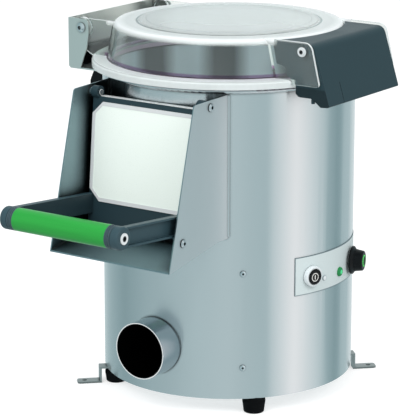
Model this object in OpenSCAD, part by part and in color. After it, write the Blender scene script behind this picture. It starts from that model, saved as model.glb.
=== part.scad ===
// Table-top electric potato peeler, in millimetres.
// The origin is on the cylinder's axis at bench level. +Z is up, the chute faces -Y,
// the lid hinge is on -X and the lid grip and the controls are on +X.
// A bearing is an angle about the axis, from -Y towards +X.

/* [Body] */
// Outer radius of the body cylinder
body_r = 170; // [162:1:180]
// Height of the body cylinder
body_h = 415; // [405:1:430]
// Thickness of the body sheet
body_t = 1.5; // [1:0.1:2.5]
// Radius of the rolled bead round the top edge
bead_r = 3; // [2:0.5:4]
// Bearing of the first column of body screws
screw_bearing = 40.7; // [40:0.1:50]
// Radius of a body screw's head
screw_head_r = 4; // [3:0.5:5]
// Height of a body screw's head
screw_head_h = 2.4; // [1.5:0.1:3]
// Radius of a body screw's shank
screw_r = 2; // [1.5:0.1:2.5]

/* [Feet and bench brackets] */
// Height from the bench to the body's lower edge
foot_h = 22.5; // [16:0.5:28]
// Largest radius of a foot
foot_r = 15.5; // [13:0.5:17]
// Distance from the body's outer surface in to a foot's axis
foot_inset = 14; // [13:0.5:18]
// Radius of a foot bolt
foot_bolt_r = 3; // [2.5:0.5:4]
// Thickness of the bench bracket strip
bench_t = 2.5; // [1.5:0.5:3]
// Width of a bench bracket
bench_w = 16; // [14:1:24]
// Distance from the body's outer surface to the bracket's upright leg
bench_leg_out = 9.5; // [8:0.5:16]
// Length of the leg that lies on the bench
bench_leg_l = 30.5; // [27:0.5:36]
// Radius of the bench screw hole
bench_hole_r = 3.25; // [2.5:0.25:4]
// Radius of the circle through the bench screw holes
bench_circle_r = 200; // [196:1:203]

/* [Chamber] */
// Height of the chamber floor above the body's lower edge
pan_rise = 182; // [180:1:188]
// Thickness of the chamber floor
pan_t = 3; // [2:0.5:4]
// Thickness of the abrasive liner
liner_t = 2.3; // [1.5:0.1:3]
// Distance from the liner's upper edge to the body's upper edge
liner_drop = 96; // [86:1:120]
// Gap between the peeling plate and the liner
plate_gap = 4; // [3:0.5:6]
// Height of the peeling plate's disc above the chamber floor
plate_rise = 20; // [18:1:22]
// Thickness of the peeling plate's disc
plate_t = 8; // [6:1:10]
// Height of the three waves on the peeling plate
wave_h = 8; // [5:1:10]
// Radius of a wave's back
wave_r = 16; // [13:1:20]
// Radius of the peeling plate's hub
hub_r = 22; // [18:1:26]
// Height of the hub above the disc
hub_h = 16; // [14:1:20]

/* [Drive] */
// Height of the chassis plate above the body's lower edge
chassis_rise = 32; // [31:1:34]
// Thickness of the chassis plate
chassis_t = 3; // [2:0.5:4]
// Radius of the drive shaft
shaft_r = 10; // [8:0.5:11]
// Running clearance between a shaft and what it turns in
run_gap = 0.05; // [0.02:0.01:0.08]
// Outer radius of a shaft bearing
bearing_r = 23.5; // [20:0.5:24.5]
// Height of a shaft bearing
bearing_h = 14; // [10:1:16]
// Outer radius of the bearing housing
housing_r = 30; // [27:1:33]
// Radius of the housing's flange
housing_flange_r = 48; // [44:1:50]
// Pitch radius of the large pulley
pulley_big_r = 70; // [64:1:72]
// Pitch radius of the motor pulley
pulley_small_r = 18; // [15:1:20]
// Width of the belt
belt_w = 12; // [8:1:14]
// Thickness of the belt
belt_t = 3; // [2:0.5:4]
// Distance from the drive shaft to the motor shaft
motor_offset = 104; // [102:1:110]
// Radius of the motor body
motor_r = 48; // [44:1:50]
// Height of the motor body
motor_h = 112; // [100:1:118]
// Radius of the motor shaft
motor_shaft_r = 7; // [5:0.5:8]
// Radius of the run capacitor
capacitor_r = 19; // [16:1:21]
// Height of the run capacitor
capacitor_h = 86; // [70:1:100]

/* [Drain] */
// Outer radius of the waste spigot
drain_r = 38.1; // [34:0.1:40]
// Wall of the waste spigot
drain_t = 2; // [1.5:0.1:3]
// Length of the spigot in front of the body
drain_out = 35.4; // [28:0.2:45]
// Step from the spigot down to the neck that passes the body's wall
drain_step = 0.5; // [0.3:0.1:1]
// Length of the neck that shows in front of the wall
neck_out = 1; // [0.5:0.5:3]
// Height of the spigot's axis above the body's lower edge
drain_rise = 65.4; // [62:0.2:70]
// Inside half width of the waste duct behind the spigot
duct_half_w = 38; // [36:1:40]

/* [Chute] */
// Half the width over the two side plates
chute_half_w = 95.5; // [93:0.5:99]
// Thickness of the chute's sheet
chute_t = 2; // [1.5:0.1:2.5]
// Reach of the side plate's upper corner in front of the body
chute_top_out = 46; // [42:1:52]
// Reach of the lower lip in front of the body
chute_lip_out = 100; // [92:1:108]
// Height of the knee in the floor above the peeling plate's underside
chute_knee_rise = 14; // [12:1:16]
// Drop of the floor from the knee to the lip
chute_drop = 18.5; // [14:0.5:24]
// Distance that the knee lies behind the front of the body
chute_knee_in = 6; // [4:1:8]
// Drop of the side plates' upper edge below the body's upper edge
chute_top_drop = 8; // [7:1:12]
// Width of the flange that joins a side plate to the body
chute_flange_w = 4; // [3:0.5:9]

/* [Door] */
// Distance of the door pivot in front of the body
door_pivot_out = 11; // [11:0.5:14]
// Drop of the door pivot below the body's upper edge
door_pivot_drop = 17; // [16:1:20]
// Lean of the closed door, its foot outward
door_lean = 5; // [4:0.5:6]
// Gap between the door's edge and the chute's side
door_side_gap = 5.5; // [4.5:0.5:8]
// Gap between the door's lower edge and the chute's lip
door_low_gap = 22; // [20:0.5:26]
// Thickness of the door panel
door_t = 12; // [9:0.5:12]
// Radius of the ears round the pivot
ear_r = 8; // [6:0.5:8.5]
// Width of an ear
ear_w = 10; // [7:1:12]
// Radius of a pivot screw's shank
pivot_r = 3; // [2.5:0.25:4]
// Distance from the pivot down to the white plate
label_top = 12; // [10:0.5:14]
// Distance from the white plate's lower edge to the door's
label_foot = 33.2; // [30:0.1:50]
// Distance from the white plate's upright edges to the door's
label_side = 1; // [1:0.5:8]
// Cut across the white plate's corners
label_cut = 16; // [15:1:22]
// Thickness of the white plate
label_t = 1.6; // [1:0.1:2]
// Width of the white plate's raised border
label_rim = 5; // [3:0.5:8]
// Thickness of the door's steel back
back_t = 1.5; // [1:0.1:2]

/* [Door handle] */
// Distance from the door's pivot plane out to the handle bar
handle_out = 166.4; // [150:1:175]
// Height of the handle bar over the chute's lip, along the door
handle_rise = 51.4; // [48:0.1:54]
// Radius of the green sleeve
handle_r = 14.8; // [13:0.1:16]
// Half the length of the green sleeve
sleeve_half = 72; // [66:1:74]
// Distance that the handle's ends stand out past the arms
cap_over = 2; // [1:0.5:4]
// Height of an arm
arm_h = 26; // [22:1:28]
// Gap between an arm and the chute's side
arm_side_gap = 3.5; // [2:0.5:4]
// Distance over the flanges of an arm
arm_w = 9; // [7:0.5:9]
// Thickness of an arm's web and flanges
arm_t = 2.6; // [2:0.1:3]
// Radius of the steel rod inside the handle
rod_r = 6; // [4:0.5:8]
// Radius of the rubber stop under each arm
stop_r = 8; // [6:0.5:10]
// Distance from the door's pivot plane out to a stop
stop_out = 46; // [40:1:52]

/* [Lid] */
// Overhang of the lid's rim over the body
rim_out = 13.7; // [12:0.1:15]
// Height of the rim's skirt
rim_h = 10; // [8:0.5:11]
// Thickness of the clear plastic
lid_t = 3.2; // [2.5:0.1:4]
// Distance from the body's outer surface in to the foot of the dome
dome_in = 7.4; // [6:0.1:10]
// Inward taper of the dome's side
dome_taper = 9; // [6:0.5:12]
// Height of the dome above the rim
dome_h = 49; // [45:0.5:52]
// Rounding of the dome's upper edge
dome_round = 8; // [5:0.5:10]
// Radius of the raised ring on the top
ring_r = 120; // [100:1:128]
// Rise of the top from the ring to the centre
crown_h = 6.5; // [4:0.5:9]
// Half the distance between the webs' inner faces
web_half = 90; // [86:0.5:92]
// Thickness of a web
web_t = 3.4; // [2:0.2:3.6]
// Reach of the right webs' upper corner beyond the body
web_top_out = 17.5; // [12:0.5:20]
// Reach of the right webs' lower corner beyond the body
web_low_out = 31; // [26:0.5:33]
// Width of the lid seal
seal_w = 9; // [6:0.5:10]

/* [Lid hinge] */
// Distance of the hinge axis from the body's outer surface
hinge_out = 5; // [3:0.5:7]
// Height of the hinge axis above the body's upper edge
hinge_rise = 46; // [44:0.5:47]
// Radius of the hinge pin
hinge_pin_r = 4; // [3:0.25:5]
// Radius of the boss round the pin
hinge_boss_r = 13.5; // [10:0.5:14]
// Distance of the bracket's outer face from the body
bracket_out = 26.6; // [26:0.2:32]
// Thickness of the bracket's sheet
bracket_t = 2; // [1.5:0.1:2.5]
// Gap between a web's boss and the bracket's cheek
cheek_gap = 0.3; // [0.2:0.1:0.6]
// Half the width of the black block under the bracket
block_half_w = 52; // [48:1:56]
// Height of the black cover inside the bracket
cover_h = 25; // [20:1:28]

/* [Lid grip] */
// Reach of the grip's outer lower edge beyond the body
grip_out = 42.5; // [38:0.5:44]
// Reach of the grip's upper edge beyond the body
grip_top_out = 18; // [12:0.5:20]
// Drop of the grip's lower edge below the body's upper edge
grip_drop = 21; // [19:0.5:24]
// Drop of the grip's top below the dome's
grip_top_drop = 1.5; // [0:0.5:3]
// Gap between the grip's ends and the webs
grip_end_gap = 3; // [2:0.5:4]
// Wall of the grip
grip_t = 4; // [3:0.5:5]
// Distance of the groove in the grip's face from the grip's near end
groove_in = 37; // [15:1:80]
// Height of the groove
groove_h = 28; // [15:1:40]
// Width and depth of the groove
groove_w = 1; // [0.6:0.1:1.5]
// Radius of the magnet
magnet_r = 6; // [4:0.5:6.5]
// Length of the magnet
magnet_l = 15; // [10:1:18]

/* [Controls] */
// Bearing of the strip's left edge
strip_from = 65; // [63:0.5:66]
// Bearing of the strip's right edge
strip_to = 126; // [125:0.5:130]
// Height of the strip
strip_h = 51.5; // [44:0.5:54]
// Height of the strip's lower edge above the body's lower edge
strip_rise = 134; // [131:1:136]
// Thickness of the strip
strip_t = 0.8; // [0.5:0.1:1.5]
// Bearing of the push button
button_bearing = 74; // [73.5:0.1:75]
// Radius of the push button
button_r = 10.2; // [9:0.1:10.4]
// Travel of the push button
button_travel = 3; // [2:0.25:3.4]
// Bearing of the small indicator
led_bearing = 82.2; // [82:0.1:83]
// Radius of the small indicator
led_r = 3; // [2:0.25:3.5]
// Bearing of the green pilot lamp
pilot_bearing = 94.4; // [93:0.1:97]
// Radius of the pilot lamp's lens
pilot_r = 6.5; // [4:0.5:7]
// Bearing of the timer knob
timer_bearing = 107.5; // [106:0.5:112]
// Radius of the knob's skirt
knob_r = 19; // [15:0.5:19.5]
// Height of the knob above the strip
knob_h = 19; // [17:0.5:24]

/* [Services] */
// Radius of the water inlet's pipe end
inlet_r = 10.5; // [8:0.25:12]
// Length of the water inlet outside the body
inlet_out = 30; // [24:1:36]
// Radius of the cable gland
gland_r = 9; // [7:0.5:11]

/* [Hidden] */

$fn = 96;
eps = 0.01;
seat_gap = 0.3;    // gap between parts of different bodies that close on each other
wall_gap = 0.1;    // gap between a plate and the wall that it slips into

STEEL = "lightgray";
DARK_PLASTIC = "darkslategray";
BLACK = "#222222";
CLEAR = "#dfe8e6";

// Levels
base_z = foot_h;
top_z = base_z + body_h;
chassis_z = base_z + chassis_rise;
pan_z = base_z + pan_rise;
pan_top_z = pan_z + pan_t;
plate_z = pan_top_z + plate_rise;
plate_top_z = plate_z + plate_t;
drain_z = base_z + drain_rise;
neck_r = drain_r - drain_step;
strip_z = base_z + strip_rise;
body_in_r = body_r - body_t;
plug_r = body_in_r - wall_gap;         // radius of what slips into the body

// Body screws
screw_count = 3;
screw_levels = [chassis_z + 11, pan_z - 11];
screw_bearings = [for (i = [0:screw_count - 1]) screw_bearing + i * 360 / screw_count];
tab_w = 30;
tab_t = 2;

// Feet
foot_bearings = [47, 134.5, 227, 314.5];
bracket_bearings = [134.5, 314.5];
foot_circle_r = body_r - foot_inset;
foot_bolt_head_r = foot_bolt_r * 1.8;
foot_bolt_head_h = 4;
base_t = 2;

// Chamber
liner_r = plug_r - liner_t;
liner_top_z = top_z - liner_drop;
plate_r = liner_r - plate_gap;
wave_count = 3;
vane_count = 2;
seal_h = 7;

// Drive
housing_top_z = pan_top_z + 6;
bearing_low_z = chassis_z + chassis_t + 7;
bearing_high_z = housing_top_z - seal_h - bearing_h - 2;
shaft_low_z = base_z + 6;
pulley_z = base_z + 9;
pulley_h = belt_w + 4;
belt_z = pulley_z + 2;
motor_z = chassis_z + chassis_t;
motor_shaft_low_z = pulley_z - 3;
capacitor_pos = [-96, -58];
box_size = [46, 56, 80];
box_pos = [-128, 14];

// Drain
duct_front_y = -(body_r - 22);
duct_back_y = -(body_r - 74);
duct_low_z = drain_z - drain_r - 3;
notch_gap = 4;

// Chute
chute_in = chute_half_w - chute_t;
knee_z = plate_z + chute_knee_rise;
lip_z = knee_z - chute_drop;
knee_y = -(body_r - chute_knee_in);
lip_y = -(body_r + chute_lip_out);
chute_top_z = top_z - chute_top_drop;
chute_corner_y = -(body_r + chute_top_out);
floor_root_y = -(body_r - 34);
door_gap = 2;                          // gap round the door's plug in the opening
door_half_w = chute_in - door_side_gap;
opening_half_w = door_half_w - 2;
opening_low_z = knee_z + 8;
opening_high_z = top_z - 32;

// Door, in its own frame: the pivot is the origin, -Y is outward, -Z runs down the door
pivot_y = -(body_r + door_pivot_out);
pivot_z = top_z - door_pivot_drop;
door_face = 2;
door_top = 5;
lip_down = (pivot_z - lip_z) / cos(door_lean);
door_len = lip_down - door_low_gap;
plug_half_w = opening_half_w - door_gap - 1;
plug_low_z = opening_low_z + 9;
plug_high_z = opening_high_z - 4;
seal_bulge = 2.5;
spacer_r = 6;
pivot_head_r = 5.5;
label_h = door_len - label_top - label_foot;
label_half_w = door_half_w - label_side;
handle_down = lip_down - handle_rise;
arm_inner = chute_in - arm_side_gap - arm_w;
handle_half = arm_inner + arm_w + cap_over;
stop_down = handle_down + arm_h / 2 + stop_r + seat_gap;
stop_in = door_half_w + seat_gap;
stop_screw_l = chute_half_w - stop_in - 1.2;

// Lid
rim_z = top_z + 1;
rim_top_z = rim_z + rim_h;
rim_r = body_r + rim_out;
dome_foot_r = body_r - dome_in;
dome_top_r = dome_foot_r - dome_taper;
dome_top_z = rim_top_z + dome_h;
ring_h = 1.6;
web_out = web_half + web_t;
seal_top_z = rim_top_z - lid_t;
seal_in_r = body_r - 4.5;

// Lid hinge
hinge_x = -(body_r + hinge_out);
hinge_z = top_z + hinge_rise;
bracket_x = -(body_r + bracket_out);
bracket_foot_l = bracket_out + 70;
boss_in = web_half - 4;
boss_out = web_out + 0.7;
cheek_in = boss_out + cheek_gap;
cheek_out = cheek_in + bracket_t;
bracket_low_z = top_z - 11;
bracket_top_z = hinge_z + 12;
cheek_right_x = hinge_x + 12.4;
shelf_z = bracket_low_z + bracket_t;
block_low_z = top_z - 52;
block_bolt_y = 32;
block_bolt_z = top_z - 34;
cover_in_x = -(rim_r + 3);
hinge_head_r = 7;

// Lid grip
grip_face_x = body_r + grip_out;
grip_top_x = body_r + grip_top_out;
grip_top_z = dome_top_z - grip_top_drop;
grip_low_z = top_z - grip_drop;
grip_screw_x = body_r + 5;
grip_screw_z = dome_top_z - 11;
grip_half = web_half - grip_end_gap;
grip_lean = (grip_face_x - grip_top_x) / (grip_top_z - grip_low_z);
pocket_in_x = body_r - 40;
magnet_x = body_r + 7;
magnet_y = -grip_half + magnet_l + 3;
magnet_z = top_z - 3;

// Controls
strip_r = body_r + strip_t;
button_z = strip_z + 24;
lamp_z = strip_z + 16.4;
timer_z = strip_z + 23;
bezel_r = button_r + 3.6;
bezel_h = 7;
sleeve_r = button_r + 1;
bezel_low = body_in_r - 8.5;
timer_box = [38, 38, 38];
timer_neck_r = 6;
timer_shaft_r = 3;
knob_low = strip_r + 3;

// Services
inlet_bearing = 180;
inlet_z = top_z - 21;
gland_bearing = 215;
gland_z = chassis_z + 49;

// ---------------------------------------------------------------- helpers

function unit(v) = v / norm(v);

// One corner p of an outline between its neighbours a and b, rounded to radius r
function corner(a, p, b, r, n) =
  let (u = unit(a - p), v = unit(b - p), half = acos(u * v) / 2,
       c = p + unit(u + v) * r / sin(half),
       s = p + u * r / tan(half) - c, e = p + v * r / tan(half) - c,
       from = atan2(s.y, s.x), d = atan2(e.y, e.x) - from,
       sweep = d > 180 ? d - 360 : d < -180 ? d + 360 : d)
  [for (i = [0:n]) c + r * [cos(from + sweep * i / n), sin(from + sweep * i / n)]];

// An outline given as [x, y, corner radius] points
function rounded(pts, n = 6) =
  [for (i = [0:len(pts) - 1])
     let (m = len(pts), a = pts[(i + m - 1) % m], p = pts[i], b = pts[(i + 1) % m])
     each p[2] > 0 ? corner([a[0], a[1]], [p[0], p[1]], [b[0], b[1]], p[2], n)
                   : [[p[0], p[1]]]];

module tube(r_out, r_in, h) {
  difference() {
    cylinder(r = r_out, h = h);
    translate([0, 0, -1]) cylinder(r = r_in, h = h + 2);
  }
}

// Puts a child's +Z on the outward radial line at a bearing and height
module radial(bearing, z) {
  rotate([0, 0, bearing]) translate([0, 0, z]) rotate([90, 0, 0]) children();
}

// A round hole through the body's wall at a bearing and height
module drill_wall(bearing, z, r) {
  radial(bearing, z) translate([0, 0, body_r - 12]) cylinder(r = r, h = 24);
}

// Stands a child on the radial line at a bearing, r from the axis
module standing(bearing, r, z) {
  rotate([0, 0, bearing]) translate([0, -r, z]) children();
}

// Extrudes a (y, z) outline along +X from x0 to x1
module along_x(x0, x1) {
  translate([x0, 0, 0]) rotate([90, 0, 90]) linear_extrude(x1 - x0) children();
}

// Extrudes an (x, z) outline along Y from y0 to y1
module along_y(y0, y1) {
  translate([0, y1, 0]) rotate([90, 0, 0]) linear_extrude(y1 - y0) children();
}

module both_sides() {
  children();
  mirror([1, 0, 0]) children();
}

module both_ends() {
  children();
  mirror([0, 1, 0]) children();
}

// A button head with a hexagon socket, its seat at z = 0
module socket_head(r, h) {
  difference() {
    rotate_extrude() polygon(rounded([[0, 0, 0], [r, 0, 0], [r, h * 0.35, h * 0.3],
                                      [r * 0.55, h, h * 0.3], [0, h, 0]]));
    translate([0, 0, h * 0.4]) cylinder(r = r * 0.42, h = h, $fn = 6);
  }
}

module door_frame() {
  translate([0, pivot_y, pivot_z]) rotate([-door_lean, 0, 0]) children();
}

// ---------------------------------------------------------------- body

module outer_body() {
  color(STEEL) difference() {
    union() {
      translate([0, 0, base_z]) tube(body_r, body_in_r, body_h - bead_r);
      rotate_extrude() translate([body_in_r + bead_r, top_z - bead_r]) circle(r = bead_r, $fn = 32);
    }
    translate([-opening_half_w, -body_r - 5, opening_low_z])
      cube([2 * opening_half_w, body_r - 70, opening_high_z - opening_low_z]);
    translate([0, -body_r + 60, drain_z]) rotate([90, 0, 0]) cylinder(r = neck_r, h = 80);
    for (b = screw_bearings, z = screw_levels) drill_wall(b, z, screw_r);
    control_holes();
    drill_wall(inlet_bearing, inlet_z, inlet_r);
    drill_wall(gland_bearing, gland_z, gland_r);
    for (y = [-block_bolt_y, block_bolt_y])
      translate([-body_r - 5, y, block_bolt_z]) rotate([0, 90, 0]) cylinder(r = screw_r, h = 40);
  }
}

module control_holes() {
  drill_wall(button_bearing, button_z, sleeve_r);
  drill_wall(led_bearing, lamp_z, led_r);
  drill_wall(pilot_bearing, lamp_z, pilot_r - 0.8);
  drill_wall(timer_bearing, timer_z, timer_neck_r);
}

module base_plate() {
  color(STEEL) difference() {
    union() {
      translate([0, 0, base_z]) cylinder(r = plug_r, h = base_t);
      translate([0, 0, base_z]) tube(plug_r, plug_r - base_t, 12);
    }
    for (b = foot_bearings)
      standing(b, foot_circle_r, base_z - 1) cylinder(r = foot_bolt_r, h = base_t + 2);
    for (a = [0:30:330])
      rotate([0, 0, a]) translate([95, 0, base_z - 1]) cylinder(r = 6, h = base_t + 2);
  }
}

function has_bracket(b) = len([for (k = bracket_bearings) if (k == b) k]) > 0;
function foot_top(b) = foot_h - (has_bracket(b) ? bench_t : 0);

module rubber_feet() {
  recess = foot_bolt_head_r + 0.6;
  color(BLACK) for (b = foot_bearings) standing(b, foot_circle_r, 0)
    rotate_extrude() polygon(rounded([
      [recess, 0, 0], [foot_r - 2, 0, 2], [foot_r, foot_top(b) - 7, 2],
      [foot_r - 1, foot_top(b), 0], [foot_bolt_r, foot_top(b), 0],
      [foot_bolt_r, foot_bolt_head_h + 9, 0], [recess, foot_bolt_head_h + 9, 0]]));
}

// The bolts and nuts of the feet, and the screws that hold the bearing housing and the motor
module base_bolts() {
  head_z = 9;
  color("silver") for (b = foot_bearings) standing(b, foot_circle_r, 0) {
    translate([0, 0, head_z]) cylinder(r = foot_bolt_head_r, h = foot_bolt_head_h, $fn = 6);
    translate([0, 0, head_z]) cylinder(r = foot_bolt_r, h = base_z + base_t + 7 - head_z);
    translate([0, 0, base_z + base_t]) cylinder(r = foot_bolt_head_r, h = 5, $fn = 6);
  }
  color("silver") chassis_bolt_sites() {
    translate([0, 0, 25]) cylinder(r = 5.5, h = 5, $fn = 6);
    translate([0, 0, 25]) cylinder(r = 3, h = chassis_t + 13);
  }
}

module bench_brackets() {
  leg_r = body_r + bench_leg_out;
  flange_in = foot_inset + foot_r - 1;
  color("silver") for (b = bracket_bearings) rotate([0, 0, b]) difference() {
    union() {
      translate([-bench_w / 2, -leg_r, foot_h - bench_t])
        cube([bench_w, flange_in + bench_leg_out, bench_t]);
      translate([-bench_w / 2, -leg_r, 0]) cube([bench_w, bench_t, foot_h]);
      translate([0, -leg_r + bench_t, 0]) linear_extrude(bench_t)
        polygon(rounded([[-bench_w / 2, 0, 0], [-bench_w / 2, -bench_leg_l - bench_t, 4],
                         [bench_w / 2, -bench_leg_l - bench_t, 4], [bench_w / 2, 0, 0]]));
    }
    translate([0, -bench_circle_r, -1]) cylinder(r = bench_hole_r, h = bench_t + 2);
    translate([0, -foot_circle_r, 0]) cylinder(r = foot_bolt_r, h = foot_h + 1);
  }
}

module body_screws() {
  color("silver") for (b = screw_bearings, z = screw_levels) radial(b, z) {
    translate([0, 0, body_r]) socket_head(screw_head_r, screw_head_h);
    translate([0, 0, body_r - 6]) cylinder(r = screw_r, h = 6.2);
  }
}

// ---------------------------------------------------------------- chamber and drive

module drain_notch(z, h) {
  translate([-duct_half_w - drain_t - notch_gap, -body_r, z])
    cube([2 * (duct_half_w + drain_t + notch_gap), body_r + duct_back_y + notch_gap, h]);
}

module chassis_plate() {
  rim_h = 20;
  color(STEEL) difference() {
    union() {
      translate([0, 0, chassis_z]) cylinder(r = plug_r, h = chassis_t);
      translate([0, 0, chassis_z]) tube(plug_r, plug_r - tab_t, rim_h);
    }
    translate([0, 0, chassis_z - 1]) cylinder(r = housing_r - 8, h = chassis_t + 2);
    translate([0, motor_offset, chassis_z - 1]) cylinder(r = motor_shaft_r + 5, h = chassis_t + 2);
    drain_notch(chassis_z - 30, 60);
    for (b = screw_bearings) drill_wall(b, screw_levels[0], screw_r);
    chassis_bolt_sites() cylinder(r = 3, h = 60);
  }
}

// Places a child under the chassis plate at each bolt of the housing and the motor
module chassis_bolt_sites() {
  for (a = [45:90:315])
    rotate([0, 0, a]) translate([housing_flange_r - 7, 0, chassis_z - 30]) children();
  for (a = [60:120:300])
    translate([0, motor_offset, 0]) rotate([0, 0, a + 30])
      translate([motor_r - 7, 0, chassis_z - 30]) children();
}

module drum_floor() {
  color(STEEL) difference() {
    union() {
      translate([0, 0, pan_z]) cylinder(r = plug_r, h = pan_t);
      intersection() {
        translate([0, 0, pan_z - 20]) tube(plug_r, plug_r - tab_t, 20 + eps);
        for (b = screw_bearings)
          rotate([0, 0, b]) translate([-tab_w / 2, -body_r, pan_z - 20])
            cube([tab_w, 20, 20 + eps]);
      }
    }
    translate([0, 0, pan_z - 1]) cylinder(r = housing_r, h = pan_t + 2);
    translate([-duct_half_w, duct_front_y, pan_z - 1])
      cube([2 * duct_half_w, duct_back_y - duct_front_y, pan_t + 2]);
    for (b = screw_bearings) drill_wall(b, screw_levels[1], screw_r);
  }
}

module abrasive_liner() {
  color("dimgray") difference() {
    translate([0, 0, pan_top_z]) tube(plug_r, liner_r, liner_top_z - pan_top_z);
    translate([-opening_half_w, -body_r, opening_low_z])
      cube([2 * opening_half_w, body_r - 70, liner_top_z]);
  }
}

module bearing_housing() {
  low_z = chassis_z + chassis_t;
  color("gray") difference() {
    union() {
      translate([0, 0, low_z]) cylinder(r = housing_flange_r, h = 8);
      translate([0, 0, low_z]) cylinder(r = housing_r, h = housing_top_z - low_z);
    }
    translate([0, 0, low_z - 1]) cylinder(r = shaft_r + 6, h = 300);
    translate([0, 0, bearing_low_z]) cylinder(r = bearing_r, h = bearing_h);
    translate([0, 0, bearing_high_z]) cylinder(r = bearing_r, h = 300);
    chassis_bolt_sites() cylinder(r = 3, h = 60);
  }
}

module shaft_bearings() {
  color("silver") for (z = [bearing_low_z, bearing_high_z])
    translate([0, 0, z]) tube(bearing_r, shaft_r + run_gap, bearing_h);
}

module shaft_seal() {
  color(BLACK) translate([0, 0, bearing_high_z + bearing_h])
    tube(bearing_r, shaft_r + run_gap, seal_h);
}

module peeling_plate() {
  hub_low_z = housing_top_z + 3;
  color("slategray") difference() {
    union() {
      translate([0, 0, plate_z]) cylinder(r = plate_r, h = plate_t);
      translate([0, 0, hub_low_z]) cylinder(r = hub_r, h = plate_z - hub_low_z + eps);
      translate([0, 0, plate_top_z - eps])
        rotate_extrude() polygon(rounded([[0, 0, 0], [hub_r, 0, 0], [hub_r * 0.8, hub_h, 5],
                                          [0, hub_h, 0]]));
      for (i = [0:wave_count - 1]) rotate([0, 0, i * 360 / wave_count + 30]) intersection() {
        translate([hub_r - 4, 0, plate_top_z + wave_h - wave_r]) rotate([0, 90, 0])
          cylinder(r = wave_r, h = plate_r - hub_r - 6);
        translate([0, -wave_r, plate_top_z - eps]) cube([plate_r, 2 * wave_r, wave_h + 1]);
      }
      for (i = [0:vane_count - 1]) rotate([0, 0, i * 360 / vane_count + 60])
        translate([housing_r + 8, -3, pan_top_z + 4])
          cube([plate_r - housing_r - 20, 6, plate_rise - 4 + eps]);
    }
    translate([0, 0, hub_low_z - 1]) cylinder(r = shaft_r, h = plate_top_z + 8 - hub_low_z);
  }
}

module drive_shaft() {
  color("silver") {
    translate([0, 0, shaft_low_z]) cylinder(r = shaft_r, h = plate_top_z + 7 - shaft_low_z);
    translate([0, 0, bearing_low_z + bearing_h + seat_gap]) cylinder(r = shaft_r + 3, h = 4);
    translate([0, 0, bearing_high_z - 4 - seat_gap]) cylinder(r = shaft_r + 3, h = 4);
  }
}

module pulley(r, hole_r, rim) {
  difference() {
    rotate_extrude() polygon([[hole_r, 0], [r + 2, 0], [r + 2, 1.7], [r, 1.7],
                              [r, pulley_h - 1.7], [r + 2, pulley_h - 1.7],
                              [r + 2, pulley_h], [hole_r, pulley_h]]);
    if (rim > 0) for (a = [0:60:300]) rotate([0, 0, a]) translate([rim, 0, -1])
      cylinder(r = 12, h = pulley_h + 2);
  }
}

module large_pulley() {
  color("gray") translate([0, 0, pulley_z]) pulley(pulley_big_r, shaft_r, 43);
}

module motor_pulley() {
  color("gray") translate([0, motor_offset, pulley_z]) pulley(pulley_small_r, motor_shaft_r, 0);
}

// The belt's loop round both pulleys, grown by g
function belt_loop(g) =
  let (lean = asin((pulley_big_r - pulley_small_r) / motor_offset), n = 48)
  concat([for (i = [0:n]) let (a = 180 - lean + i * (180 + 2 * lean) / n)
            (pulley_big_r + g) * [cos(a), sin(a)]],
         [for (i = [0:n]) let (a = lean + i * (180 - 2 * lean) / n)
            [0, motor_offset] + (pulley_small_r + g) * [cos(a), sin(a)]]);

module drive_belt() {
  color(BLACK) translate([0, 0, belt_z]) linear_extrude(belt_w) difference() {
    polygon(belt_loop(seat_gap + belt_t));
    polygon(belt_loop(seat_gap));
  }
}

module motor_body() {
  fin_h = motor_h - 36;
  color("steelblue") translate([0, motor_offset, motor_z]) difference() {
    union() {
      cylinder(r = motor_r, h = 9);
      cylinder(r = motor_r - 5, h = motor_h - 14);
      for (a = [0:20:340]) rotate([0, 0, a]) translate([motor_r - 6, -1.5, 14])
        cube([5, 3, fin_h]);
      translate([0, 0, motor_h - 18]) cylinder(r = motor_r - 1, h = 18);
    }
    translate([0, 0, -1]) cylinder(r = motor_shaft_r + run_gap, h = motor_h - 20);
    translate([0, -motor_offset, -motor_z]) chassis_bolt_sites() cylinder(r = 3, h = 44);
  }
}

module motor_shaft() {
  color("silver") translate([0, motor_offset, motor_shaft_low_z])
    cylinder(r = motor_shaft_r, h = motor_z + motor_h - 24 - motor_shaft_low_z);
}

module run_capacitor() {
  color("whitesmoke") translate([capacitor_pos.x, capacitor_pos.y, chassis_z + chassis_t]) {
    cylinder(r = capacitor_r, h = capacitor_h);
    for (x = [-6, 6]) translate([x - 2, -1, capacitor_h - eps]) cube([4, 1.5, 8]);
  }
}

module control_box() {
  color("gray") translate([box_pos.x, box_pos.y, chassis_z + chassis_t]) {
    cube(box_size);
    translate([6, 6, box_size.z - eps]) cube([box_size.x - 12, box_size.y - 12, 4]);
  }
}

// The spigot's neck passes the wall and butts on the duct's front plate
module drain_spigot() {
  neck_l = body_r + neck_out + duct_front_y;
  spigot_l = drain_out - neck_out;
  bore_r = drain_r - drain_t;
  color("silver") translate([0, duct_front_y, drain_z]) rotate([90, 0, 0]) {
    tube(neck_r, bore_r, neck_l + eps);
    translate([0, 0, neck_l]) tube(drain_r, bore_r, spigot_l);
  }
}

module drain_duct() {
  color("silver") difference() {
    translate([-duct_half_w - drain_t, duct_front_y, duct_low_z])
      cube([2 * (duct_half_w + drain_t), duct_back_y - duct_front_y + drain_t,
            pan_z - duct_low_z]);
    translate([0, duct_front_y + drain_t + 1, drain_z]) rotate([90, 0, 0])
      cylinder(r = drain_r - drain_t, h = drain_t + 2);
    translate([-duct_half_w, duct_front_y + drain_t, duct_low_z + drain_t])
      cube([2 * duct_half_w, duct_back_y - duct_front_y - drain_t, pan_z - duct_low_z]);
  }
}

// ---------------------------------------------------------------- chute

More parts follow.
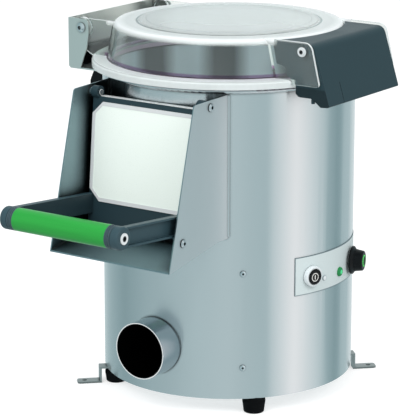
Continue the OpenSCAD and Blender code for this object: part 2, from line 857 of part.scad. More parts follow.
module chute_side() {
  root_bearing = asin(chute_in / body_r);
  flange_sweep = chute_flange_w / body_r * 180 / PI;
  flange_low_z = knee_z + 2;
  color(STEEL) difference() {
    union() {
      along_x(chute_in, chute_half_w) polygon(rounded([
        [lip_y, lip_z, 0], [knee_y, knee_z, 0], [floor_root_y, knee_z, 0],
        [floor_root_y, chute_top_z + 1, 0], [chute_corner_y, chute_top_z - 1, 5]]));
      rotate([0, 0, -90 + root_bearing]) translate([0, 0, flange_low_z])
        rotate_extrude(angle = flange_sweep, $fn = 192)
          translate([body_r, 0]) square([chute_t * 0.8, chute_top_z - flange_low_z]);
    }
    translate([0, 0, lip_z - 5]) cylinder(r = body_r, h = top_z);
    translate([0, pivot_y, pivot_z]) rotate([0, 90, 0]) cylinder(r = pivot_r, h = 200);
    door_frame() translate([0, -stop_out, -stop_down]) rotate([0, 90, 0])
      cylinder(r = pivot_r, h = 200);
  }
}

module chute_side_right() chute_side();
module chute_side_left() mirror([1, 0, 0]) chute_side();

module chute_floor() {
  color(STEEL) difference() {
    along_x(-chute_in, chute_in) polygon([
      [lip_y, lip_z], [knee_y, knee_z], [floor_root_y, knee_z],
      [floor_root_y, knee_z + chute_t], [knee_y, knee_z + chute_t],
      [lip_y, lip_z + chute_t]]);
    translate([0, 0, lip_z - 5]) cylinder(r = body_r, h = 100);
  }
}

// Pivot screws of the door and the screws that hold its stops
module chute_screws() {
  color("silver") both_sides() {
    translate([chute_half_w, pivot_y, pivot_z]) rotate([0, 90, 0]) {
      socket_head(pivot_head_r, 3);
      translate([0, 0, door_half_w - ear_w - chute_half_w - 1.5])
        cylinder(r = pivot_r, h = chute_half_w + ear_w + 1.6 - door_half_w);
    }
    translate([chute_half_w, 0, 0]) door_frame() translate([0, -stop_out, -stop_down])
      rotate([0, 90, 0]) {
        socket_head(pivot_head_r, 3);
        translate([0, 0, -stop_screw_l]) cylinder(r = pivot_r, h = stop_screw_l + 0.1);
      }
  }
}

module door_spacers() {
  color("silver") both_sides()
    translate([door_half_w + seat_gap, pivot_y, pivot_z]) rotate([0, 90, 0])
      tube(spacer_r, pivot_r, chute_in - door_half_w - seat_gap);
}

module door_stops() {
  color(BLACK) both_sides() door_frame()
    translate([stop_in, -stop_out, -stop_down]) rotate([0, 90, 0]) difference() {
      cylinder(r = stop_r, h = chute_in - stop_in);
      translate([0, 0, chute_half_w - stop_screw_l - stop_in])
        cylinder(r = pivot_r, h = 20);
    }
}

// ---------------------------------------------------------------- door

module door_panel() {
  color(DARK_PLASTIC) door_frame() difference() {
    union() {
      along_x(-door_half_w, door_half_w) polygon(rounded([
        [-door_face, -door_top, 1.5], [-door_face, -door_len, 2],
        [door_t - door_face, -door_len, 2], [door_t - door_face, -door_top, 1.5]]));
      both_sides() along_x(door_half_w - ear_w, door_half_w) union() {
        circle(r = ear_r);
        translate([-door_face, -ear_r - 6]) square([door_t - 2, ear_r + 6]);
      }
    }
    translate([-door_half_w - 1, 0, 0]) rotate([0, 90, 0])
      cylinder(r = pivot_r + run_gap, h = 2 * door_half_w + 2);
    translate([-door_half_w + 12, -door_face + 3, -door_len + 12])
      cube([2 * door_half_w - 24, door_t, door_len - door_top - 24]);
  }
}

// Keeps the part of the children that lies behind the panel
module behind_panel() {
  difference() {
    children();
    door_frame() translate([-200, door_t - door_face - 100, -300]) cube([400, 100, 400]);
  }
}

// A block in the body's opening, drawn in by inset and never nearer the axis than r
module plug_block(inset, r) {
  low = plug_low_z + inset;
  high = plug_high_z - inset;
  difference() {
    translate([-plug_half_w + inset, -body_r - 60, low])
      cube([2 * (plug_half_w - inset), body_r - 60, high - low]);
    translate([0, 0, low - 1]) cylinder(r = r, h = high - low + 2);
  }
}

// The hollow steel plug that closes the body's opening
module door_back_plate() {
  color("silver") behind_panel() difference() {
    plug_block(0, liner_r);
    plug_block(back_t, liner_r + back_t);
  }
}

module door_seal() {
  color(BLACK) behind_panel() difference() {
    intersection() {
      plug_block(-seal_bulge, body_in_r);
      translate([0, 0, plug_low_z - 5]) cylinder(r = body_in_r + 7, h = body_h);
    }
    plug_block(0, liner_r);
  }
}

module door_plate() {
  low = label_top + label_h;
  cut = label_cut;
  function outline(g) = [
    [-label_half_w + cut, -label_top - g], [label_half_w - cut, -label_top - g],
    [label_half_w - g, -label_top - cut], [label_half_w - g, -low + cut],
    [label_half_w - cut, -low + g], [-label_half_w + cut, -low + g],
    [-label_half_w + g, -low + cut], [-label_half_w + g, -label_top - cut]];
  color("honeydew") door_frame() translate([0, -door_face, 0]) rotate([90, 0, 0]) difference() {
    linear_extrude(label_t) polygon(outline(0));
    translate([0, 0, label_t - 0.5]) linear_extrude(2) polygon(outline(label_rim));
  }
}

module handle_arms() {
  from = door_face;
  color(DARK_PLASTIC) door_frame() both_sides() difference() {
    union() {
      along_x(arm_inner, arm_inner + arm_t)
        translate([-handle_out, -handle_down - arm_h / 2]) square([handle_out - from, arm_h]);
      for (z = [-handle_down - arm_h / 2, -handle_down + arm_h / 2 - arm_t])
        along_x(arm_inner, arm_inner + arm_w)
          translate([-handle_out, z]) square([handle_out - from, arm_t]);
      translate([arm_inner - 1, -handle_out, -handle_down]) rotate([0, 90, 0])
        rotate_extrude() polygon(rounded([[0, 0, 0], [handle_r, 0, 0],
          [handle_r, handle_half - arm_inner + 1, 3], [0, handle_half - arm_inner + 1, 0]]));
    }
    translate([0, -handle_out, -handle_down]) rotate([0, 90, 0])
      cylinder(r = rod_r, h = handle_half + 5);
  }
}

module handle_rod() {
  color("silver") door_frame() translate([-handle_half + 1, -handle_out, -handle_down])
    rotate([0, 90, 0]) cylinder(r = rod_r, h = 2 * handle_half - 2);
}

module handle_sleeve() {
  color("limegreen") door_frame() translate([-sleeve_half, -handle_out, -handle_down])
    rotate([0, 90, 0]) tube(handle_r, rod_r, 2 * sleeve_half);
}

module handle_collars() {
  length = arm_inner - 1 - sleeve_half;
  ribs = 3;
  color("slategray") door_frame() both_sides()
    translate([sleeve_half, -handle_out, -handle_down]) rotate([0, 90, 0]) difference() {
      tube(handle_r, rod_r, length);
      for (i = [1:ribs]) translate([0, 0, i * length / (ribs + 1) - 0.3])
        tube(handle_r + 1, handle_r - 0.5, 0.6);
    }
}

module handle_screws() {
  color("white") door_frame() both_sides()
    translate([handle_half - 1, -handle_out, -handle_down]) rotate([0, 90, 0]) difference() {
      union() {
        cylinder(r = rod_r, h = 1 + eps);
        translate([0, 0, 1]) cylinder(r = rod_r + 1.2, h = 1.2);
      }
      translate([0, 0, 0.6]) cylinder(r = 2.8, h = 3, $fn = 6);
    }
}

// ---------------------------------------------------------------- lid

function dome_outer() = [
  [rim_r, rim_z, 0], [rim_r, rim_top_z, 3.5], [dome_foot_r, rim_top_z, 2.5],
  [dome_top_r, dome_top_z, dome_round], [ring_r + 2, dome_top_z + 0.4, 0],
  [ring_r, dome_top_z + 0.4 + ring_h, 0], [ring_r * 0.6, dome_top_z + crown_h - 1.5, 60],
  [0, dome_top_z + crown_h, 0]];

function dome_inner() = [
  [0, dome_top_z + crown_h - lid_t, 0],
  [ring_r * 0.6, dome_top_z + crown_h - lid_t - 1.5, 60],
  [ring_r - 2, dome_top_z - lid_t + ring_h, 0], [ring_r, dome_top_z - lid_t, 0],
  [dome_top_r - lid_t, dome_top_z - lid_t, dome_round - lid_t],
  [dome_foot_r - lid_t, seal_top_z, 0], [rim_r - lid_t, seal_top_z, 0.5],
  [rim_r - lid_t, rim_z, 0]];

// The filled outside of the dome, from the rim up
module dome_fill() {
  rotate_extrude($fn = 192)
    polygon(concat([[0, rim_z]], rounded(dome_outer())));
}

module web_outline_right() {
  polygon(rounded([
    [0, dome_top_z, 0], [dome_top_r - 40, dome_top_z, 0], [dome_top_r - 36, dome_top_z + 1, 0],
    [body_r + web_top_out, dome_top_z + 1, 12], [body_r + web_low_out, rim_top_z - 5.4, 3.5],
    [0, rim_top_z - 5.4, 0]]));
}

module web_outline_left() {
  polygon(rounded([
    [0, dome_top_z - 1.5, 0], [hinge_x - 12, dome_top_z - 1.5, 12],
    [hinge_x - 12, hinge_z - 20, 10], [hinge_x + 6.3, rim_top_z + 4.3, 0],
    [hinge_x + 20.1, rim_top_z - 3.6, 0], [0, rim_top_z - 3.6, 0]]));
}

module lid_dome() {
  color(CLEAR) difference() {
    union() {
      dome_fill();
      both_ends() {
        along_y(web_half, web_out) web_outline_right();
        along_y(web_half, web_out) web_outline_left();
        translate([hinge_x, boss_out, hinge_z]) rotate([90, 0, 0])
          cylinder(r = hinge_boss_r, h = boss_out - boss_in);
      }
    }
    rotate_extrude($fn = 192)
      polygon(concat([[0, rim_z - 30]], rounded(dome_inner()), [[rim_r - lid_t, rim_z - 30]]));
    translate([hinge_x, -cheek_out, hinge_z]) rotate([-90, 0, 0])
      cylinder(r = hinge_pin_r + run_gap, h = 2 * cheek_out);
    translate([grip_screw_x, -cheek_out, grip_screw_z]) rotate([-90, 0, 0])
      cylinder(r = screw_r, h = 2 * cheek_out);
  }
}

module lid_seal() {
  color("plum") translate([0, 0, top_z + seat_gap])
    tube(seal_in_r + seal_w, seal_in_r, seal_top_z - top_z - seat_gap);
}

// The grip's end profile in the (x, z) plane; the gap keeps it off the lid
module grip_outline() {
  polygon(rounded([
    [body_r - 47, grip_top_z, 0], [grip_top_x, grip_top_z, 12],
    [grip_face_x, grip_low_z + 1, 2], [grip_face_x - 13, grip_low_z, 4],
    [grip_face_x - 22, grip_low_z + 7, 3], [body_r + 15, grip_low_z + 10, 2],
    [body_r - 3, grip_low_z + 10, 4], [body_r - 12, grip_low_z + 17, 5],
    [body_r - 15, rim_top_z + 2, 1], [body_r - 20, rim_top_z + 3.5, 2],
    [body_r - 24, rim_top_z + 16, 5], [body_r - 38, rim_top_z + 18.5, 3]]));
}

// The hollow behind the grip's face, open below for the fingers
module grip_pocket() {
  polygon([
    [grip_top_x - 3, grip_top_z - grip_t], [pocket_in_x, grip_top_z - grip_t],
    [pocket_in_x, grip_low_z - 5], [grip_face_x - grip_t + 5 * grip_lean, grip_low_z - 5]]);
}

// The shallow groove that runs up the face from its lower edge
module grip_groove() {
  foot_x = grip_face_x + 5 * grip_lean - groove_w;
  head_x = grip_face_x - groove_h * grip_lean - groove_w;
  along_y(-grip_half + groove_in, -grip_half + groove_in + groove_w) polygon([
    [foot_x, grip_low_z - 5], [head_x, grip_low_z + groove_h],
    [head_x + 20, grip_low_z + groove_h], [foot_x + 20, grip_low_z - 5]]);
}

module lid_grip() {
  color(DARK_PLASTIC) difference() {
    union() {
      difference() {
        along_y(-grip_half, grip_half) grip_outline();
        along_y(-grip_half + grip_t, grip_half - grip_t) grip_pocket();
      }
      translate([magnet_x, magnet_y, magnet_z]) rotate([90, 0, 0])
        cylinder(r = magnet_r + 2, h = magnet_l + 2);
      translate([body_r + 16, -grip_half + 4, grip_low_z + 3]) cylinder(r = 2.4, h = 12);
      both_ends() translate([grip_screw_x, web_half - eps, grip_screw_z]) rotate([90, 0, 0])
        cylinder(r = screw_r + 3, h = 12);
    }
    grip_clearance();
    grip_groove();
    translate([magnet_x, magnet_y + 1, magnet_z]) rotate([90, 0, 0])
      cylinder(r = magnet_r, h = magnet_l + 1);
    translate([grip_screw_x, -web_half - 1, grip_screw_z]) rotate([-90, 0, 0])
      cylinder(r = screw_r, h = 2 * web_half + 2);
  }
}

// The lid's outside, grown by the seat gap
module grip_clearance() {
  g = seat_gap;
  rotate_extrude($fn = 192) polygon([
    [0, rim_z - 40], [rim_r + g, rim_z - 40], [rim_r + g, rim_top_z + g],
    [dome_foot_r + g, rim_top_z + g], [dome_top_r + g, dome_top_z + g],
    [dome_top_r + g, dome_top_z + 20], [0, dome_top_z + 20]]);
}

module grip_screws() {
  color("white") both_ends() translate([grip_screw_x, web_out, grip_screw_z])
    rotate([-90, 0, 0]) difference() {
      union() {
        cylinder(r = 6.2, h = 1.2);
        cylinder(r = 4.4, h = 2.6);
        translate([0, 0, -web_t - 10]) cylinder(r = screw_r, h = web_t + 10.1);
      }
      translate([0, 0, 0.8]) cylinder(r = 2, h = 3, $fn = 6);
    }
}

module lid_magnet() {
  color("silver") translate([magnet_x, magnet_y, magnet_z])
    rotate([90, 0, 0]) cylinder(r = magnet_r, h = magnet_l);
}

module lid_sensor() {
  bearing = atan2(magnet_x, grip_half - 12);
  color(BLACK) intersection() {
    rotate([0, 0, bearing]) translate([-12, -body_in_r, top_z - 22]) cube([24, 9, 14]);
    cylinder(r = body_in_r, h = top_z);
  }
}

// ---------------------------------------------------------------- lid hinge

module hinge_bracket() {
  color(STEEL) difference() {
    union() {
      translate([bracket_x, -cheek_out, bracket_low_z])
        cube([bracket_t, 2 * cheek_out, bracket_top_z - bracket_low_z]);
      translate([bracket_x, -cheek_out, bracket_low_z])
        cube([bracket_foot_l, 2 * cheek_out, bracket_t]);
      both_ends() along_y(cheek_in, cheek_out) polygon(rounded([
        [bracket_x + eps, bracket_low_z, 0], [bracket_x + 19.2, bracket_low_z, 0],
        [bracket_x + 31, bracket_low_z + 31.2, 8], [cheek_right_x, hinge_z - 8, 8],
        [cheek_right_x, bracket_top_z, 7], [bracket_x + eps, bracket_top_z, 0]]));
    }
    translate([0, 0, bracket_low_z - 1]) cylinder(r = body_r + wall_gap, h = bracket_t + 2);
    translate([hinge_x, -cheek_out - 1, hinge_z]) rotate([-90, 0, 0])
      cylinder(r = hinge_pin_r, h = 2 * cheek_out + 2);
    for (y = [-block_bolt_y, block_bolt_y])
      translate([bracket_x - 1, y, bracket_low_z + 15]) rotate([0, 90, 0])
        cylinder(r = screw_r, h = bracket_t + 2);
    both_ends() translate([0, cheek_out + 1, 0]) rotate([90, 0, 0])
      linear_extrude(2 * bracket_t + 2) polygon([
        [bracket_x - 1, bracket_low_z - 1], [bracket_x + 4, bracket_low_z - 1],
        [bracket_x - 1, bracket_low_z + 4]]);
  }
}

// The black block that carries the bracket's shelf on the body's wall
module hinge_block() {
  back_x = -body_r - 8;
  color(BLACK) difference() {
    along_y(-block_half_w, block_half_w) polygon(rounded([
      [-body_r + 20, block_low_z, 0], [-body_r - 19, block_low_z, 6],
      [-body_r - 26, block_low_z + 14, 12], [-body_r - 18, bracket_low_z - 9, 9],
      [back_x, bracket_low_z - 6, 4], [back_x, bracket_low_z, 0],
      [-body_r + 20, bracket_low_z, 0]]));
    translate([0, 0, block_low_z - 1]) cylinder(r = body_r, h = 80);
    for (y = [-block_bolt_y, block_bolt_y])
      translate([-body_r - 40, y, block_bolt_z]) rotate([0, 90, 0]) {
        cylinder(r = screw_r, h = 60);
        cylinder(r = 5, h = 26);
      }
  }
}

// The black cover behind the rim, on the bracket's back plate
module hinge_cover() {
  color(BLACK) difference() {
    along_y(-cheek_in + 1, cheek_in - 1) polygon(rounded([
      [bracket_x + bracket_t, shelf_z, 0], [cover_in_x, shelf_z, 0],
      [cover_in_x, shelf_z + cover_h, 3], [bracket_x + bracket_t, shelf_z + cover_h, 0]]));
    for (y = [-block_bolt_y, block_bolt_y])
      translate([bracket_x, y, bracket_low_z + 15]) rotate([0, 90, 0])
        cylinder(r = screw_r, h = 7);
  }
}

module hinge_bolts() {
  color("silver") for (y = [-block_bolt_y, block_bolt_y]) {
    translate([bracket_x, y, bracket_low_z + 15]) rotate([0, -90, 0]) {
      socket_head(5, 3);
      translate([0, 0, -6]) cylinder(r = screw_r, h = 6.1);
    }
    translate([-body_r - 14, y, block_bolt_z]) rotate([0, -90, 0]) {
      socket_head(4.6, 3);
      translate([0, 0, -19]) cylinder(r = screw_r, h = 19.1);
    }
  }
}

module hinge_pins() {
  tip = boss_in - seat_gap;
  color("silver") both_ends() translate([hinge_x, cheek_out, hinge_z]) rotate([-90, 0, 0]) {
    socket_head(hinge_head_r, 4);
    translate([0, 0, tip - cheek_out]) cylinder(r = hinge_pin_r, h = cheek_out - tip + 0.1);
    translate([0, 0, tip - cheek_out - 2]) cylinder(r = hinge_pin_r + 2, h = 2);
  }
}

// ---------------------------------------------------------------- controls

module control_strip() {
  color("gainsboro") difference() {
    rotate([0, 0, strip_from - 90]) translate([0, 0, strip_z])
      rotate_extrude(angle = strip_to - strip_from, $fn = 192)
        translate([body_r + wall_gap / 2, 0]) square([strip_t - wall_gap / 2, strip_h]);
    control_holes();
  }
}

module button_bezel() {
  color("silver") radial(button_bearing, button_z) difference() {
    union() {
      translate([0, 0, bezel_low]) cylinder(r = sleeve_r, h = strip_r - bezel_low + 0.2);
      translate([0, 0, strip_r]) rotate_extrude()
        polygon(rounded([[0, 0, 0], [bezel_r, 0, 0], [bezel_r, bezel_h, 1.6], [0, bezel_h, 0]]));
    }
    translate([0, 0, bezel_low - 1]) cylinder(r = button_r + seat_gap, h = 40);
  }
}

module start_button() {
  cap_low = bezel_low + button_travel + 0.4;
  cap_h = strip_r + bezel_h + 2 - cap_low;
  color(BLACK) radial(button_bearing, button_z) {
    translate([0, 0, cap_low]) rotate_extrude() polygon(rounded([
      [0, 0, 0], [button_r, 0, 0], [button_r, cap_h, 1], [button_r * 0.55, cap_h, 0],
      [button_r * 0.5, cap_h - 0.6, 0], [0, cap_h - 0.6, 0]]));
    translate([0, 0, bezel_low - 8]) cylinder(r = 4, h = cap_low - bezel_low + 8.1);
  }
}

module switch_unit() {
  color(BLACK) radial(button_bearing, button_z) difference() {
    translate([0, 0, bezel_low - 34]) cylinder(r = sleeve_r + 1, h = 34);
    translate([0, 0, bezel_low - 8 - button_travel - 1.5]) cylinder(r = 4.3, h = 30);
  }
}

module small_indicator() {
  color("darkgray") radial(led_bearing, lamp_z) {
    translate([0, 0, body_in_r - 8]) cylinder(r = led_r, h = strip_r - body_in_r + 8.1);
    translate([0, 0, strip_r]) rotate_extrude()
      polygon(rounded([[0, 0, 0], [led_r + 0.8, 0, 0], [led_r + 0.5, 1.6, 1], [0, 1.8, 0]]));
  }
}

module pilot_lamp() {
  color("lime") radial(pilot_bearing, lamp_z) {
    translate([0, 0, body_in_r - 18]) cylinder(r = pilot_r - 0.8, h = strip_r - body_in_r + 18.1);
    translate([0, 0, strip_r]) rotate_extrude()
      polygon(rounded([[0, 0, 0], [pilot_r, 0, 0], [pilot_r * 0.9, 2.8, 2], [0, 3.6, 0]]));
  }
}

module timer_unit() {
  box_top = body_in_r - 4;
  color("whitesmoke") radial(timer_bearing, timer_z) {
    translate([-timer_box.x / 2, -timer_box.y / 2, box_top - timer_box.z]) cube(timer_box);
    translate([0, 0, box_top - eps]) cylinder(r = timer_neck_r, h = knob_low - 1 - box_top);
    translate([0, 0, box_top]) cylinder(r = timer_shaft_r, h = knob_low + knob_h - 8 - box_top);
  }
}

module timer_knob() {
  h = knob_h - 2;
  grips = 18;
  color(BLACK) radial(timer_bearing, timer_z) translate([0, 0, knob_low]) difference() {
    rotate_extrude() polygon(rounded([
      [0, 0, 0], [knob_r, 0, 0], [knob_r, 2.5, 1], [knob_r * 0.8, 5, 1.5],
      [knob_r * 0.7, h, 2.4], [0, h, 0]]));
    for (i = [0:grips - 1]) rotate([0, 0, i * 360 / grips]) translate([knob_r * 0.86, 0, 5.2])
      cylinder(r = knob_r * 0.09, h = h);
    translate([0, 0, -1]) cylinder(r = timer_neck_r + 1.5, h = 1 + 1.5);
    translate([0, 0, -1]) cylinder(r = timer_shaft_r + run_gap, h = knob_h - 7);
    translate([0, 0, h - 2]) cylinder(r = knob_r * 0.42, h = 5);
  }
}

module knob_tip() {
  h = knob_h - 4;
  color("limegreen") radial(timer_bearing, timer_z) translate([0, 0, knob_low + h])
    rotate_extrude() polygon(rounded([[0, 0, 0], [knob_r * 0.42, 0, 0],
                                      [knob_r * 0.42, 2.6, 0.8], [0, 2.8, 0]]));
}

// ---------------------------------------------------------------- services

module water_inlet() {
  color("goldenrod") radial(inlet_bearing, inlet_z) difference() {
    union() {
      translate([0, 0, body_in_r - 10]) cylinder(r = inlet_r, h = inlet_out + 10 + body_t);
      translate([0, 0, body_r]) cylinder(r = inlet_r + 4, h = 7, $fn = 6);
      translate([0, 0, body_in_r - 6]) cylinder(r = inlet_r + 3, h = 5.2, $fn = 6);
    }
    translate([0, 0, body_in_r - 11]) cylinder(r = inlet_r - 3, h = inlet_out + 40);
  }
}

module cable_gland() {
  color(BLACK) radial(gland_bearing, gland_z) difference() {
    union() {
      translate([0, 0, body_in_r - 9]) cylinder(r = gland_r, h = 9 + body_t + 5);
      translate([0, 0, body_r]) cylinder(r = gland_r + 3, h = 5, $fn = 6);
      translate([0, 0, body_r + 5]) rotate_extrude() polygon(rounded([
        [0, 0, 0], [gland_r + 2, 0, 0], [gland_r + 1, 8, 2], [gland_r * 0.6, 13, 2], [0, 13, 0]]));
      translate([0, 0, body_in_r - 6]) cylinder(r = gland_r + 3, h = 5.4, $fn = 6);
    }
    translate([0, 0, body_in_r - 10]) cylinder(r = 4, h = 50);
  }
}

outer_body();
base_plate();
rubber_feet();
base_bolts();
bench_brackets();
body_screws();
chassis_plate();
drum_floor();
abrasive_liner();
bearing_housing();
shaft_bearings();
shaft_seal();
peeling_plate();
drive_shaft();
large_pulley();
drive_belt();
motor_pulley();
motor_shaft();
motor_body();
run_capacitor();
control_box();
drain_duct();
drain_spigot();
chute_side_left();
chute_side_right();
chute_floor();
chute_screws();
door_spacers();
door_stops();
door_panel();
door_back_plate();
door_seal();
door_plate();
handle_arms();
handle_rod();
handle_sleeve();
handle_collars();
handle_screws();
lid_dome();
lid_seal();
lid_grip();
grip_screws();
lid_magnet();
lid_sensor();
hinge_bracket();
hinge_block();
hinge_cover();
hinge_bolts();
hinge_pins();
control_strip();
button_bezel();
start_button();
switch_unit();
small_indicator();
pilot_lamp();
timer_knob();
knob_tip();
timer_unit();
water_inlet();
cable_gland();
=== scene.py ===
"""Looks for the electric potato peeler: materials, small dressing pieces, studio and camera.

Lengths are metres in the part's own frame: Z up, the door towards -Y, the lid's grip towards +X.
"""

import math

import bpy
from mathutils import Matrix, Vector


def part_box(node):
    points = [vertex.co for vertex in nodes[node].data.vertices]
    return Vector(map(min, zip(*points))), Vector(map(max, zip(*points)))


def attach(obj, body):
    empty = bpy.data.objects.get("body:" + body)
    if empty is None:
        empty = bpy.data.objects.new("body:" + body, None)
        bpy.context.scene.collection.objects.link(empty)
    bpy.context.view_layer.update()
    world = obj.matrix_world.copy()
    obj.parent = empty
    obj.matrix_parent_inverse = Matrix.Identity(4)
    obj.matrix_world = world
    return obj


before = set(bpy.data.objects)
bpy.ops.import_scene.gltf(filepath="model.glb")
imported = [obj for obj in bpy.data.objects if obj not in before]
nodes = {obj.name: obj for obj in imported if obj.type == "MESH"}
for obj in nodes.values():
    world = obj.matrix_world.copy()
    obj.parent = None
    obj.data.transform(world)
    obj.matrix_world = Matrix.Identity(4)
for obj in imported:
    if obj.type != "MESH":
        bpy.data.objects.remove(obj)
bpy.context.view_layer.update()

X_AXIS = Vector((1.0, 0.0, 0.0))
Y_AXIS = Vector((0.0, 1.0, 0.0))
Z_AXIS = Vector((0.0, 0.0, 1.0))


# ---------------------------------------------------------------- node graphs

NOISE_LOW, NOISE_HIGH = 0.3, 0.7


class Graph:
    """Short calls for the nodes of one material or world."""

    def __init__(self, owner):
        owner.use_nodes = True
        self.tree = owner.node_tree
        self.shader = self.tree.nodes.get("Principled BSDF")

    def node(self, kind, values=(), **settings):
        made = self.tree.nodes.new("ShaderNode" + kind)
        for key, value in settings.items():
            setattr(made, key, value)
        for key, value in dict(values).items():
            self.feed(made.inputs[key], value)
        return made

    def feed(self, socket, value):
        if isinstance(value, bpy.types.NodeSocket):
            self.tree.links.new(value, socket)
        else:
            socket.default_value = value

    def set(self, **values):
        for key, value in values.items():
            self.feed(self.shader.inputs[key.replace("_", " ")], value)

    def output(self, shader):
        self.feed(self.tree.nodes["Material Output"].inputs[0], shader.outputs[0])

    # Numbers

    def math(self, operation, a, b=0.0, clamp=False):
        made = self.node("Math", {0: a, 1: b}, operation=operation, use_clamp=clamp)
        return made.outputs[0]

    def times(self, first, *others):
        for other in others:
            first = self.math("MULTIPLY", first, other)
        return first

    def most(self, first, *others):
        for other in others:
            first = self.math("MAXIMUM", first, other)
        return first

    def spread(self, value, low, high, start=0.0, end=1.0):
        """value from start..end put onto low..high."""
        values = {"Value": value, "From Min": start, "From Max": end, "To Min": low, "To Max": high}
        return self.node("MapRange", values).outputs[0]

    def varied(self, noise, low, high):
        """low..high over the middle of a noise's range."""
        return self.spread(noise, low, high, NOISE_LOW, NOISE_HIGH)

    def past(self, value, edge, soft=0.0003):
        """0 below the edge and 1 above it."""
        return self.spread(value, 0.0, 1.0, edge - soft, edge + soft)

    def before(self, value, edge, soft=0.0003):
        """1 below the edge and 0 above it."""
        return self.math("SUBTRACT", 1.0, self.past(value, edge, soft))

    def within(self, value, low, high, soft=0.0003):
        """1 between two edges."""
        return self.times(self.past(value, low, soft), self.before(value, high, soft))

    # Places and directions

    def place(self):
        return self.node("TexCoord").outputs["Object"]

    def normal(self):
        return self.node("TexCoord").outputs["Normal"]

    def split(self, vector):
        return self.node("SeparateXYZ", {0: vector}).outputs

    def vectors(self, operation, *values):
        outputs = self.node("VectorMath", dict(enumerate(values)), operation=operation).outputs
        return outputs["Value" if operation in ("DOT_PRODUCT", "LENGTH") else "Vector"]

    def stretched(self, scale):
        """The place on the object, with each axis scaled by itself."""
        return self.vectors("MULTIPLY", self.place(), scale)

    def turn(self):
        """The angle round the upright axis."""
        x, y, _ = self.split(self.place())
        return self.math("ARCTAN2", y, x)

    def off_axis(self, point, axis):
        """Distance from the line through point along axis, a unit vector."""
        offset = self.vectors("SUBTRACT", self.place(), point)
        return self.vectors("LENGTH", self.vectors("CROSS_PRODUCT", offset, axis))

    # Colour and relief

    def noise(self, vector, scale, detail=2.0, roughness=0.5):
        values = {"Vector": vector, "Scale": scale, "Detail": detail, "Roughness": roughness}
        return self.node("TexNoise", values).outputs["Fac"]

    def tool_marks(self):
        return self.noise(self.stretched((900.0, 900.0, 140.0)), 1.0, 1.0)

    def blend(self, factor, a, b):
        made = self.node("Mix", data_type="RGBA")
        for index, value in ((0, factor), (6, a), (7, b)):
            self.feed(made.inputs[index], value)
        return made.outputs[2]

    def bump(self, height, strength, distance, under=None):
        values = {"Height": height, "Strength": strength, "Distance": distance}
        if under is not None:
            values["Normal"] = under
        return self.node("Bump", values).outputs[0]

    def painted_shade_mask(self, reach, low=0.4, high=0.95):
        """The mask of painted shade: 1 on open faces, falling to 0 in seams, sockets and corners
        closer than reach.
        """
        made = self.node("AmbientOcclusion", {"Distance": reach}, samples=8)
        return self.spread(made.outputs["AO"], 0.0, 1.0, low, high)

    def soft_edges(self, radius):
        return self.node("Bevel", {"Radius": radius}, samples=6).outputs[0]


def linear(channel):
    level = channel / 255
    return level / 12.92 if channel < 11 else ((level + 0.055) / 1.055) ** 2.4


def rgb(*channels):
    """A colour given as 0-255 screen values, as the linear colour that shows as it."""
    return tuple(linear(channel) for channel in channels) + (1.0,)


def grey(level):
    """A grey given as a linear level."""
    return (level, level, level, 1.0)


def shade(color, factor):
    return tuple(c * factor for c in color[:3]) + (1.0,)


def new_material(name, **values):
    material = bpy.data.materials.new(name)
    graph = Graph(material)
    graph.set(**values)
    return material, graph


def middle(node):
    low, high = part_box(node)
    return (Vector(low) + Vector(high)) / 2


def outward(node):
    """The level direction from the body's axis to a node."""
    place = middle(node)
    return Vector((place.x, place.y, 0.0)).normalized()


def furthest(node, direction):
    """How far a node reaches in a direction."""
    return max(direction.dot(v.co) for v in nodes[node].data.vertices)


# ------------------------------------------------------------------- metals


def brushed(name, color, rough, along, cloud=0.04, spin=None, inside=None, inner=None,
            inner_rough=0.1, inner_metal=1.0, corner=None, reflection_bands=None):
    """Brushed steel, with painted shade in its seams.

    along(g) gives the place with its long axis down the grain, cloud is how far the tone drifts,
    and spin turns the smear of the gloss. inside(g) is 1 on the faces that have the inner finish,
    whose colour is darkened as painted shade nearer to a corner than that reach, and darkened as
    painted reflection bands where the band mask, when given, is 0.
    """
    material, g = new_material(name, Metallic=1.0)
    grain = g.noise(along(g), 1.0, 3.0, 0.6)
    drift = g.noise(g.stretched((16.0, 16.0, 2.5)), 1.0, 3.0)
    tone = g.math("ADD", g.times(grain, 0.2), g.times(drift, 0.8))
    base_tone = g.blend(tone, shade(color, 1 - cloud), shade(color, 1 + cloud * 0.6))
    gloss = g.varied(grain, rough - 0.015, rough + 0.015)
    if inside is not None:
        hidden = inside(g)
        lining = g.blend(drift, shade(inner, 0.85), shade(inner, 1.1))
        # Painted reflection bands: darker where the band mask is 0.
        if reflection_bands is not None:
            lining = g.blend(reflection_bands(g), shade(inner, 0.16), lining)
        # Painted shade, darker in the inner faces' corners.
        if corner is not None:
            lining = g.blend(g.painted_shade_mask(corner, 0.45, 0.86), shade(inner, 0.06), lining)
        base_tone = g.blend(hidden, base_tone, lining)
        gloss = g.math("ADD", gloss, g.times(hidden, inner_rough))
        g.set(Metallic=g.spread(hidden, 1.0, inner_metal))
    # Painted shade in seams closer than 4 mm.
    g.set(
        Base_Color=g.blend(g.painted_shade_mask(0.004), shade(color, 0.25), base_tone),
        Roughness=gloss,
        Normal=g.bump(grain, 0.006, 0.0002),
    )
    if spin is not None:
        g.set(Anisotropic=0.9, Anisotropic_Rotation=spin)
        g.set(Tangent=g.node("Tangent", direction_type="RADIAL", axis="Z").outputs[0])
    return material


def polished(name, color, rough, socket_shade_reach=0.003, dark=0.05, metal=1.0):
    """Turned or polished metal with fine tool marks and faint smears, with painted shade in its
    sockets.
    """
    material, g = new_material(name, Metallic=metal)
    smear = g.noise(g.place(), 60.0, 3.0)
    base_tone = g.blend(smear, shade(color, 0.94), color)
    g.set(
        Base_Color=g.blend(g.painted_shade_mask(socket_shade_reach), shade(color, dark), base_tone),
        Roughness=g.varied(smear, rough * 0.8, rough * 1.3),
        Normal=g.bump(g.tool_marks(), 0.03, 0.0001),
    )
    return material


